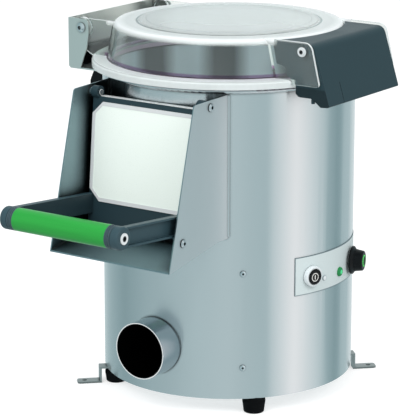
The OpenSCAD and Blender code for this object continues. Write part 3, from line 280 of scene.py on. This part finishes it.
def cast(name, color, rough):
    """Cast metal with a pitted skin."""
    material, g = new_material(name, Metallic=1.0)
    pits = g.noise(g.place(), 420.0, 4.0, 0.65)
    g.set(
        Base_Color=g.blend(g.noise(g.place(), 30.0), shade(color, 0.85), color),
        Roughness=g.varied(pits, rough - 0.08, rough + 0.08),
        Normal=g.bump(pits, 0.25, 0.0004),
    )
    return material


def screw_head(name, color, rough, axis=None, metal=1.0):
    """A machined head: bright face, with the flank and socket painted dark as painted shade. Screws
    with no axis point outward from the body's own."""
    material, g = new_material(name, Metallic=metal)
    if axis is None:
        x, y, _ = g.split(g.place())
        level = g.node("CombineXYZ", {0: x, 1: y}).outputs[0]
        axis = g.vectors("NORMALIZE", level)
    toward = g.vectors("DOT_PRODUCT", g.normal(), axis)
    face = g.past(g.math("ABSOLUTE", toward), 0.6, 0.2)
    marks = g.tool_marks()
    # Painted shade: the flank and the socket are near black.
    open_face = g.times(face, g.painted_shade_mask(0.0035, 0.55, 0.97))
    base_tone = g.blend(marks, shade(color, 0.92), color)
    g.set(
        Base_Color=g.blend(open_face, shade(color, 0.04), base_tone),
        Roughness=g.varied(marks, rough - 0.04, rough + 0.04),
        Normal=g.bump(marks, 0.03, 0.0001),
    )
    return material


# ------------------------------------------------- plastic, rubber and abrasive


def moulded(name, color, rough, grain=900.0, depth=0.08, edge=0.0006, seam=None, painted_shade_part=None,
            **extra):
    """Moulded plastic or paint: a fine eroded grain, softened edges, slow changes of tone and
    gloss, with painted shade in seams closer than seam. The faces where the part mask is 1 are
    painted half as bright, as painted shade."""
    material, g = new_material(name, **extra)
    fine = g.noise(g.place(), grain, 3.0, 0.6)
    slow = g.noise(g.place(), 14.0, 2.0)
    tone = g.blend(slow, shade(color, 0.94), shade(color, 1.06))
    # Painted shade in seams.
    if seam is not None:
        tone = g.blend(g.painted_shade_mask(seam, 0.5, 0.9), shade(color, 0.12), tone)
    # Painted shade: the masked faces at half brightness.
    if painted_shade_part is not None:
        tone = g.blend(painted_shade_part(g), tone, shade(color, 0.5))
    g.set(
        Base_Color=tone,
        Roughness=g.spread(g.math("ADD", fine, slow), rough - 0.05, rough + 0.07, 0.7, 1.3),
        Normal=g.bump(fine, depth, 0.0002, g.soft_edges(edge)),
    )
    return material


def two_tone(name, inner, outer, rough, node, axis, radius, **extra):
    """A moulded piece whose colour changes at a radius about its own axis."""
    material, g = new_material(name, **extra)
    fine = g.noise(g.place(), 700.0, 2.0)
    edge = g.past(g.off_axis(middle(node), axis), radius)
    g.set(
        Base_Color=g.blend(edge, inner, outer),
        Roughness=g.varied(fine, rough - 0.04, rough + 0.04),
        Normal=g.bump(fine, 0.04, 0.0001),
    )
    return material


def ribbed(name, color, rough, pitch):
    """Moulded plastic with fine ribs round the X axis, painted darker in their grooves as painted
    shade.
    """
    material, g = new_material(name)
    x, _, _ = g.split(g.place())
    ribs = g.math("SINE", g.times(x, math.tau / pitch))
    fine = g.noise(g.place(), 900.0, 3.0)
    g.set(
        Base_Color=g.blend(g.spread(ribs, 0.0, 1.0, -1.0, 1.0), shade(color, 0.72), color),
        Roughness=g.varied(fine, rough - 0.05, rough + 0.05),
        Normal=g.bump(ribs, 0.5, 0.0004),
    )
    return material


def streaked(name, color, rough):
    """Turned plastic with faint streaks along the X axis."""
    material, g = new_material(name, Specular_IOR_Level=0.4)
    streaks = g.noise(g.stretched((9.0, 260.0, 260.0)), 1.0, 3.0)
    g.set(
        Base_Color=g.blend(streaks, shade(color, 0.86), shade(color, 1.12)),
        Roughness=g.varied(streaks, rough - 0.04, rough + 0.06),
        Normal=g.bump(streaks, 0.08, 0.0003),
    )
    return material


def grit(name, dark, light):
    """Coarse silicon carbide in resin."""
    material, g = new_material(name)
    grains = g.node("TexVoronoi", {"Vector": g.place(), "Scale": 420.0})
    fine = g.noise(g.place(), 1500.0, 2.0)
    height = g.math("ADD", grains.outputs["Distance"], g.times(fine, 0.3))
    g.set(
        Base_Color=g.blend(g.split(grains.outputs["Color"])[0], dark, light),
        Roughness=g.varied(fine, 0.55, 0.8),
        Normal=g.bump(height, 0.8, 0.0012),
    )
    return material


# -------------------------------------------------------------- clear plastic

# Heights and radii on the lid. A pair is where something starts and ends.
RIM_TOP = 0.4485
FOOT_TOP = 0.4530
DOME_TOP = 0.4975
SHOULDER_Z = DOME_TOP - 0.0045
DOME_FOOT_R = 0.163
RIM_MILK_R = (0.172, 0.1845)
SHOULDER_R = (0.138, 0.152)
RING_R = (0.1219, 0.1245)
FAINT_RING_R = (0.1100, 0.1112)
WEB_IN = 0.0885


def clear_lid(name):
    """Moulded polycarbonate, clear in the wall, with a purple tint at the wall's foot. It is milky
    in the rim, the cover, the shoulder and the webs' cut edges, and has two grey rings painted at
    its moulded steps as painted shade."""
    material, g = new_material(name, IOR=1.49)
    x, y, z = g.split(g.place())
    out = g.math("SQRT", g.math("ADD", g.times(x, x), g.times(y, y)))
    rim = g.times(g.spread(z, 1.0, 0.0, RIM_TOP - 0.002, RIM_TOP + 0.001),
                  g.within(out, *RIM_MILK_R, 0.0015))
    cover = g.past(z, DOME_TOP, 0.001)
    shoulder = g.times(g.past(z, SHOULDER_Z, 0.004), g.past(out, RING_R[1], 0.001),
                       g.spread(out, 0.62, 1.0, *SHOULDER_R), g.before(out, DOME_FOOT_R, 0.001))
    # Painted shade: grey rings at the cover's moulded steps.
    rings = g.most(g.within(out, *RING_R), g.times(g.within(out, *FAINT_RING_R), 0.6))
    rings = g.times(rings, g.past(z, DOME_TOP - 0.001, 0.0005))
    web = g.times(g.past(g.math("ABSOLUTE", y), WEB_IN), g.past(out, DOME_FOOT_R, 0.001))
    sideways = g.math("ABSOLUTE", g.split(g.normal())[1])
    cut = g.times(web, g.before(sideways, 0.3, 0.1))
    foot = g.times(g.within(z, RIM_TOP - 0.0005, FOOT_TOP, 0.0005),
                   g.before(out, DOME_FOOT_R + 0.003, 0.001))
    milk = g.most(g.times(rim, 0.85), g.times(cover, 0.38), g.times(shoulder, 0.85),
                  g.times(cut, 0.9))
    milk = g.math("ADD", milk, g.times(g.noise(g.place(), 20.0, 2.0), 0.04), clamp=True)
    pale = g.blend(shoulder, rgb(222, 229, 230), rgb(244, 248, 250))
    clear = g.blend(foot, rgb(244, 250, 248), rgb(204, 172, 206))
    g.set(
        Base_Color=g.blend(rings, g.blend(milk, clear, pale), rgb(150, 165, 166)),
        Transmission_Weight=g.spread(milk, 1.0, 0.0),
        Roughness=g.spread(milk, 0.02, 0.3),
        Normal=g.bump(g.noise(g.place(), 9.0, 1.0), 0.04, 0.002),
    )
    # The lamps light the drum through it.
    through = g.node("BsdfTransparent", {"Color": rgb(240, 246, 244)})
    to_lamp = g.node("LightPath").outputs["Is Shadow Ray"]
    share = g.times(to_lamp, g.spread(milk, 0.95, 0.3))
    g.output(g.node("MixShader", {0: share, 1: g.shader.outputs[0], 2: through.outputs[0]}))
    return material


# ------------------------------------------------------------- marked surfaces

BODY_R = 0.17
DRAIN_Z = 0.0879
BORE_R = 0.0368
LINE_W = 0.0009
BORDER_RISE = 0.00025
DOOR_LEAN = math.radians(5)


def drain_steel(name, color, edge):
    """Polished tube whose bore is painted black as painted shade, with a cut end of the colour
    edge and painted shade in its seams.
    """
    material, g = new_material(name, Metallic=1.0)
    wall = g.past(g.off_axis(Vector((0.0, 0.0, DRAIN_Z)), Y_AXIS), BORE_R)
    end = g.times(g.split(g.normal())[1], -1.0)
    lip = g.times(g.past(end, 0.7, 0.1), wall)
    smear = g.noise(g.stretched((60.0, 12.0, 60.0)), 1.0, 3.0)
    base_tone = g.blend(smear, shade(color, 0.8), color)
    tube = g.blend(g.painted_shade_mask(0.004), shade(color, 0.1), base_tone)
    # The bore is painted black as painted shade.
    g.set(
        Base_Color=g.blend(wall, rgb(16, 18, 19), g.blend(lip, tube, edge)),
        Metallic=g.spread(lip, 1.0, 0.2),
        Roughness=g.spread(wall, 0.6, 0.07),
        Normal=g.bump(smear, 0.04, 0.0003),
    )
    return material


def label_strip(name, color, line):
    """Printed foil with a thin line round its edge."""
    material, g = new_material(name)
    low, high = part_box("control_strip")
    start = min(math.atan2(v.co.y, v.co.x) for v in nodes["control_strip"].data.vertices)
    _, _, z = g.split(g.place())
    inside = g.times(g.within(z, low[2] + LINE_W, high[2] - LINE_W),
                     g.past(g.turn(), start + LINE_W / BODY_R, 0.001))
    base_tone = g.blend(g.noise(g.place(), 20.0), shade(color, 0.985), color)
    fine = g.noise(g.place(), 900.0, 2.0)
    g.set(
        Base_Color=g.blend(inside, line, base_tone),
        Roughness=g.varied(fine, 0.36, 0.46),
        Normal=g.bump(fine, 0.03, 0.0001),
    )
    return material


def door_label(name, face, border):
    """A plate with a raised grey border round its pale face."""
    material, g = new_material(name)
    out_of_door = Vector((0.0, -math.cos(DOOR_LEAN), math.sin(DOOR_LEAN)))
    raised = furthest("door_plate", out_of_door) - BORDER_RISE
    depth = g.vectors("DOT_PRODUCT", g.place(), out_of_door)
    fine = g.noise(g.place(), 900.0, 2.0)
    g.set(
        Base_Color=g.blend(g.past(depth, raised, 0.0001), face, border),
        Roughness=g.varied(fine, 0.26, 0.34),
        Normal=g.bump(fine, 0.03, 0.0001),
    )
    return material


# ------------------------------------------------------- grains, painted reflection bands and faces

# Count and start of the painted reflection bands round the drum's inner wall.
REFLECTION_BAND_COUNT = 10.0
REFLECTION_BAND_PHASE = -26.0
GRIP_HALF = 0.087
GRIP_DARK_Z = 0.439
ARM_INNER = 0.081
# The chute's floor and the base plate end a little short of the walls' inner faces.
CHUTE_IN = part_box("chute_floor")[1][0] + 0.0014
BODY_IN_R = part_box("base_plate")[1][0] + 0.001


def along_wall(g):
    """Grain level round the body."""
    _, _, z = g.split(g.place())
    arc = g.times(g.turn(), BODY_R * 10.0)
    return g.node("CombineXYZ", {0: arc, 1: g.times(z, 2400.0)}).outputs[0]


def along_x(g):
    return g.stretched((12.0, 900.0, 1400.0))


def along_z(g):
    return g.stretched((1200.0, 1200.0, 12.0))


def painted_reflection_bands(g):
    """Painted reflection bands, soft and upright, round the drum's inner wall: 0 dull, 1 bright."""
    wander = g.times(g.noise(g.stretched((9.0, 9.0, 1.5)), 1.0, 2.0), 1.4)
    turn = g.times(g.turn(), REFLECTION_BAND_COUNT)
    wave = g.math("COSINE", g.math("ADD", g.math("ADD", turn, wander), REFLECTION_BAND_PHASE))
    return g.spread(wave, 0.0, 1.0, -0.7, 0.6)


def between_panels(g):
    """1 on the faces of the chute that look inward."""
    x, _, _ = g.split(g.place())
    return g.before(g.math("ABSOLUTE", x), CHUTE_IN)


def within_wall(g):
    """1 on the inner face of the body's wall."""
    return g.before(g.off_axis(Vector((0.0, 0.0, 0.0)), Z_AXIS), BODY_IN_R)


def grip_shaded_ends(g):
    """1 on the end faces of the lid's grip, below the lid's webs, which get painted shade."""
    _, y, z = g.split(g.place())
    ends = g.past(g.math("ABSOLUTE", y), GRIP_HALF - 0.0005, 0.0002)
    return g.times(ends, g.before(z, GRIP_DARK_Z, 0.0005))


def arm_shaded_insides(g):
    """1 on the faces of the door's arms that look at each other, which get painted shade."""
    x, _, _ = g.split(g.place())
    return g.before(g.math("ABSOLUTE", x), ARM_INNER + 0.0003, 0.0002)


# ------------------------------------------------------------ the part's slots

STEEL = rgb(223, 226, 228)
# Screw sockets are painted near black as painted shade.
SOCKET_SHADE = rgb(12, 16, 18)

materials = {
    # The drum's inner wall gets painted reflection bands.
    "steel_body": brushed(
        "steel_body", STEEL, 0.21, along_wall, cloud=0.09, spin=0.25, inside=within_wall,
        inner=rgb(226, 241, 250), inner_rough=0.25, inner_metal=0.15, reflection_bands=painted_reflection_bands),
    "steel_sheet": brushed("steel_sheet", STEEL, 0.34, along_z),
    "bracket_steel": brushed("bracket_steel", rgb(234, 235, 230), 0.34, along_x),
    "bright_steel": polished("bright_steel", rgb(218, 222, 226), 0.18),
    "bright_screws": polished("bright_screws", rgb(228, 232, 234), 0.16, socket_shade_reach=0.0035),
    "brass_pipe": polished("brass_pipe", rgb(216, 190, 132), 0.25),
    "cast_alloy": cast("cast_alloy", rgb(190, 192, 196), 0.45),
    "painted_motor": moulded("painted_motor", rgb(60, 90, 120), 0.4, grain=300.0),
    "black_rubber": moulded("black_rubber", rgb(7, 8, 10), 0.7, grain=700.0, depth=0.2,
                            Specular_IOR_Level=0.1),
    "seal_rubber": moulded("seal_rubber", rgb(196, 176, 196), 0.5),
    "dark_plastic": moulded("dark_plastic", rgb(36, 55, 62), 0.4, edge=0.0012,
                            Specular_IOR_Level=0.3),
    "black_plastic": moulded("black_plastic", rgb(6, 8, 11), 0.35, Specular_IOR_Level=0.2),
    "grey_plastic": moulded("grey_plastic", rgb(92, 104, 110), 0.45),
    "white_plastic": moulded("white_plastic", rgb(232, 232, 228), 0.4),
    "abrasive": grit("abrasive", rgb(58, 54, 52), rgb(120, 116, 112)),
    "abrasive_plate": grit("abrasive_plate", rgb(60, 57, 54), rgb(128, 124, 118)),
    "clear_plastic": clear_lid("clear_plastic"),
    "white_plate": door_label("white_plate", rgb(236, 246, 240), rgb(208, 212, 214)),
    "strip_label": label_strip("strip_label", rgb(206, 219, 220), rgb(112, 130, 136)),
}

# Nodes whose look is not their slot's.
# The chute's inward faces are painted darker than its outer ones as painted shade, and darker still
# in its corners.
chute = brushed("chute_sheet", STEEL, 0.42, along_z, inside=between_panels,
                inner=rgb(154, 176, 182), corner=0.045)
special = {
    "chute_side_right": chute,
    "chute_side_left": chute,
    "chute_floor": chute,
    "bench_brackets": brushed("bench_steel", rgb(162, 166, 165), 0.36, along_x),
    # The spigot's cut end is painted white as a painted highlight.
    "drain_spigot": drain_steel("drain_steel", rgb(190, 200, 206), rgb(250, 250, 250)),
    "drain_duct": drain_steel("duct_steel", rgb(60, 64, 66), rgb(30, 32, 33)),
    "body_screws": screw_head("body_screw", rgb(230, 238, 242), 0.3),
    "chute_screws": screw_head("chute_screw", rgb(206, 214, 218), 0.3, X_AXIS),
    # The arms are a lighter copy of the dark plastic as painted light, and their inner faces get
    # painted shade.
    "handle_arms": moulded("arm_plastic", rgb(52, 75, 83), 0.4, edge=0.0012,
                           painted_shade_part=arm_shaded_insides, Specular_IOR_Level=0.3),
    "handle_collars": ribbed("collar_ribs", rgb(66, 86, 94), 0.42, pitch=0.0026),
    "handle_sleeve": streaked("sleeve_plastic", rgb(36, 154, 58), 0.32),
    "handle_screws": two_tone("handle_screw", SOCKET_SHADE, rgb(224, 230, 231), 0.3,
                              "handle_screws", X_AXIS, radius=0.0037),
    "lid_grip": moulded("grip_plastic", rgb(36, 57, 64), 0.4, edge=0.001,
                        painted_shade_part=grip_shaded_ends, Specular_IOR_Level=0.3),
    "grip_screws": two_tone("grip_screw", SOCKET_SHADE, rgb(208, 214, 216), 0.3,
                            "grip_screws", Y_AXIS, radius=0.0027),
    # The bezel gets painted shade in the seam where it meets the strip.
    "button_bezel": moulded("bezel_ring", rgb(222, 230, 233), 0.25, seam=0.003),
    # The pilot lamp's lens is painted brighter in its middle as a painted highlight.
    "pilot_lamp": two_tone("pilot_painted_highlight", rgb(80, 235, 150), rgb(14, 130, 66), 0.15,
                           "pilot_lamp", outward("pilot_lamp"), radius=0.003),
    "small_indicator": two_tone("indicator_face", rgb(226, 234, 236), rgb(150, 162, 168), 0.3,
                                "small_indicator", outward("small_indicator"), radius=0.0029),
    "knob_tip": two_tone("knob_glow", rgb(8, 40, 16), rgb(96, 240, 112), 0.5,
                         "knob_tip", outward("knob_tip"), radius=0.0066, Specular_IOR_Level=0.2),
}

for name, node in nodes.items():
    for holder in node.material_slots:
        holder.material = special.get(name) or materials[holder.material.name.split(".")[0]]


# ------------------------------------------------------ outlines and closed solids

CIRCLE_STEPS = 48
BAR_END_STEPS = 10
CORNER_STEPS = 6


def circle(radius, height):
    turns = [math.tau * i / CIRCLE_STEPS for i in range(CIRCLE_STEPS)]
    return [(radius * math.cos(t), radius * math.sin(t), height) for t in turns]


def bar(half_w, half_l, height):
    """A round-ended bar, upright."""
    points = []
    for centre, start in ((half_l - half_w, 0.0), (half_w - half_l, math.pi)):
        for i in range(BAR_END_STEPS + 1):
            t = start + math.pi * i / BAR_END_STEPS
            points.append((half_w * math.cos(t), centre + half_w * math.sin(t), height))
    return points


def rounded(half_x, half_y, radius, height):
    """A rectangle with rounded corners."""
    points = []
    for corner, (sx, sy) in enumerate(((1, 1), (-1, 1), (-1, -1), (1, -1))):
        for i in range(CORNER_STEPS + 1):
            t = math.pi / 2 * (corner + i / CORNER_STEPS)
            points.append((sx * (half_x - radius) + radius * math.cos(t),
                           sy * (half_y - radius) + radius * math.sin(t), height))
    return points


def lofted(rings, closed=False):
    """Points and faces of a solid through rings of equal count. The end rings are filled, or
    joined to each other where it is closed on itself."""
    count, total = len(rings[0]), sum(len(ring) for ring in rings)
    faces = [] if closed else [tuple(reversed(range(count))), tuple(range(total - count, total))]
    for low in range(0, total if closed else total - count, count):
        high = (low + count) % total
        for i in range(count):
            j = (i + 1) % count
            faces.append((low + i, low + j, high + j, high + i))
    return [point for ring in rings for point in ring], faces


def turned(profile, closed=False):
    """A turned solid from (radius, height) points."""
    return lofted([circle(radius, height) for radius, height in profile], closed)


# ---------------------------------------------------------- small dressing pieces

# The mark on the button: a ring's two radii and a bar's half width and half length.
MARK_RING = (0.0058, 0.0046)
MARK_BAR = (0.0008, 0.0031)
MARK_T = 0.00012
# The strip on the door's top: half length, half width and corner radius, from the door's pivot.
TRIM_SIZE = (0.0774, 0.0058, 0.002)
TRIM_SHIFT = (0.0, 0.004, -0.005)
TRIM_T = 0.0005
DOOR_PIVOT = Vector((0.0, -0.181, 0.4205))
PIVOT_SCREW_X = 0.078
PIVOT_HEAD = [(0.004, 0.0), (0.004, 0.001), (0.0036, 0.0015), (0.0022, 0.0015), (0.002, 0.0006)]


def linked(name, data):
    made = bpy.data.objects.new(name, data)
    bpy.context.scene.collection.objects.link(made)
    return made


def add_piece(name, parts, place, body, material):
    """One piece of closed solids, each as points and faces, put at place."""
    verts, faces = [], []
    for part_verts, part_faces in parts:
        faces += [tuple(len(verts) + i for i in face) for face in part_faces]
        verts += [place @ Vector(v) for v in part_verts]
    mesh = bpy.data.meshes.new(name)
    mesh.from_pydata(verts, [], faces)
    mesh.materials.append(material)
    made = linked(name, mesh)
    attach(made, body)


def outer_face(node):
    """The frame on a node's outer face: X level, Y up, Z outward."""
    out = outward(node)
    turn = Matrix((Z_AXIS.cross(out), Z_AXIS, out)).transposed().to_4x4()
    place = out * furthest(node, out) + Vector((0.0, 0.0, middle(node).z))
    return Matrix.Translation(place) @ turn


ring_out, ring_in = MARK_RING
mark = [
    turned([(ring_out, 0.0), (ring_out, MARK_T), (ring_in, MARK_T), (ring_in, 0.0)], closed=True),
    lofted([bar(*MARK_BAR, height) for height in (0.0, MARK_T)]),
]
add_piece("start_symbol", mark, outer_face("start_button"), "button",
          materials["white_plastic"])

door_frame = Matrix.Translation(DOOR_PIVOT) @ Matrix.Rotation(-DOOR_LEAN, 4, "X")
trim = lofted([rounded(*TRIM_SIZE, height) for height in (0.0, TRIM_T)])
add_piece("door_trim", [trim], door_frame @ Matrix.Translation(TRIM_SHIFT), "door",
          polished("trim_steel", rgb(250, 252, 252), 0.3, socket_shade_reach=0.0008, dark=0.4, metal=0.3))

# The pivot screws are a brighter, less metallic copy of the screw steel, as painted light where
# they stand in shade.
pivot_steel = screw_head("pivot_screw", rgb(245, 250, 250), 0.25, X_AXIS, metal=0.3)
for side, name in ((-1, "pivot_screw_left"), (1, "pivot_screw_right")):
    inward = Matrix.Rotation(math.radians(-90 * side), 4, "Y")
    place = Matrix.Translation(DOOR_PIVOT + Vector((side * PIVOT_SCREW_X, 0.0, 0.0))) @ inward
    add_piece(name, [turned(PIVOT_HEAD)], place, "housing", pivot_steel)


# ------------------------------------------------------------------ the studio

AMBIENT = 0.84
WHITE = grey(1.0)
# Levels at bearings in degrees: 0 is where the door faces, and 90 where the lid's grip points.
TENT = [
    (-180, 0.70), (-155, 0.86), (-110, 0.55), (-78, 0.42), (-45, 0.53), (0, 0.62), (35, 0.67),
    (70, 0.59), (75, 0.74), (98, 1.03), (128, 0.74), (138, 0.56), (146, 0.41), (156, 0.41),
    (166, 0.60),
]
CEILING = [
    (-180, 0.8), (-60, 0.7), (0, 0.4), (40, 0.2), (52, 0.3), (58, 1.0), (86, 1.0), (94, 0.45),
    (118, 0.45), (128, 1.0), (150, 1.0),
]
CEILING_TINT = (0.94, 0.98, 1.0)
FLOOR_HALF = 6
FLOOR_LEVEL = 0.55
FLOOR_GLOW = 0.6
LOOK_AT = (0, 0, 0.3)
CAMERA_PLACE = (1.6766, -2.4652, 1.0053)
CAMERA_DIP = math.radians(14.42)
CAMERA_TURN = 0.61021
LENS = 195.84


def round_about(g, bearing, levels, tint=(1.0, 1.0, 1.0)):
    """A colour that changes with the bearing, from (degrees, level) stops."""
    made = g.node("ValToRGB", {"Fac": bearing})
    elements = made.color_ramp.elements
    while len(elements) < len(levels):
        elements.new(0.5)
    for element, (degrees, level) in zip(elements, levels):
        element.position = (degrees + 180) / 360
        element.color = tuple(level * part for part in tint) + (1.0,)
    return made.outputs[0]


def studio_world():
    """White to the camera. Gloss sees a grey tent that is bright on one side, and what the clear
    lid lets through comes from a ceiling above the horizon and from white below it."""
    world = bpy.data.worlds.new("studio")
    bpy.context.scene.world = world
    world.cycles.sampling_method = "NONE"
    g = Graph(world)
    x, y, z = g.split(g.node("TexCoord").outputs["Generated"])
    bearing = g.math("DIVIDE", g.math("ARCTAN2", x, g.times(y, -1.0)), math.tau)
    bearing = g.math("ADD", bearing, 0.5)
    level = round_about(g, bearing, TENT)
    ceiling = round_about(g, bearing, CEILING, CEILING_TINT)
    # Cooler where the tent is dim.
    tent = g.node("CombineColor", {
        0: g.times(level, g.spread(level, 0.5, 0.99)),
        1: level,
        2: g.times(level, g.spread(level, 1.09, 1.0)),
    })
    path = g.node("LightPath").outputs
    upward = g.times(path["Is Transmission Ray"], g.past(z, 0.03, 0.03))
    downward = g.math("SUBTRACT", path["Is Transmission Ray"], upward)
    color = g.blend(path["Is Glossy Ray"], grey(AMBIENT), tent.outputs[0])
    color = g.blend(g.most(path["Is Camera Ray"], downward), color, WHITE)
    color = g.blend(upward, color, ceiling)
    background = g.tree.nodes["Background"].inputs
    g.feed(background["Color"], color)
    g.feed(background["Strength"], 1.0)


def studio_floor():
    """A pale floor that shows white with soft shadows; metal looks past it at the tent."""
    mesh = bpy.data.meshes.new("floor")
    corners = [(x * FLOOR_HALF, y * FLOOR_HALF, 0) for x, y in ((-1, -1), (1, -1), (1, 1), (-1, 1))]
    mesh.from_pydata(corners, [], [(0, 1, 2, 3)])
    floor = linked("floor", mesh)
    material = bpy.data.materials.new("floor")
    mesh.materials.append(material)
    g = Graph(material)
    g.tree.nodes.remove(g.shader)
    path = g.node("LightPath").outputs
    seen = g.most(path["Is Camera Ray"], path["Is Transmission Ray"])
    paper = g.node("BsdfDiffuse", {"Color": grey(FLOOR_LEVEL)})
    glow = g.node("Emission", {"Strength": g.times(seen, FLOOR_GLOW)})
    lit = g.node("AddShader", {0: paper.outputs[0], 1: glow.outputs[0]})
    gap = g.node("BsdfTransparent")
    g.output(g.node("MixShader", {0: path["Is Glossy Ray"], 1: lit.outputs[0], 2: gap.outputs[0]}))


def lamp(name, place, size, power):
    """A disk lamp aimed at the object, which gloss does not see."""
    data = bpy.data.lights.new(name, "AREA")
    data.shape = "DISK"
    data.size = size
    data.energy = power
    made = linked(name, data)
    made.location = place
    made.rotation_euler = (Vector(LOOK_AT) - Vector(place)).to_track_quat("-Z", "Y").to_euler()
    made.visible_glossy = False


def camera():
    data = bpy.data.cameras.new("camera")
    data.sensor_width = 36.0
    data.lens = LENS
    made = linked("camera", data)
    made.location = CAMERA_PLACE
    made.rotation_euler = (math.radians(90) - CAMERA_DIP, 0.0, CAMERA_TURN)
    bpy.context.scene.camera = made


studio_world()
studio_floor()
lamp("key", (0.1, -2.4, 2.2), size=1.6, power=39.0)
lamp("fill", (2.2, -0.6, 1.8), size=1.4, power=20.0)
camera()
bpy.context.scene.view_settings.view_transform = "Standard"
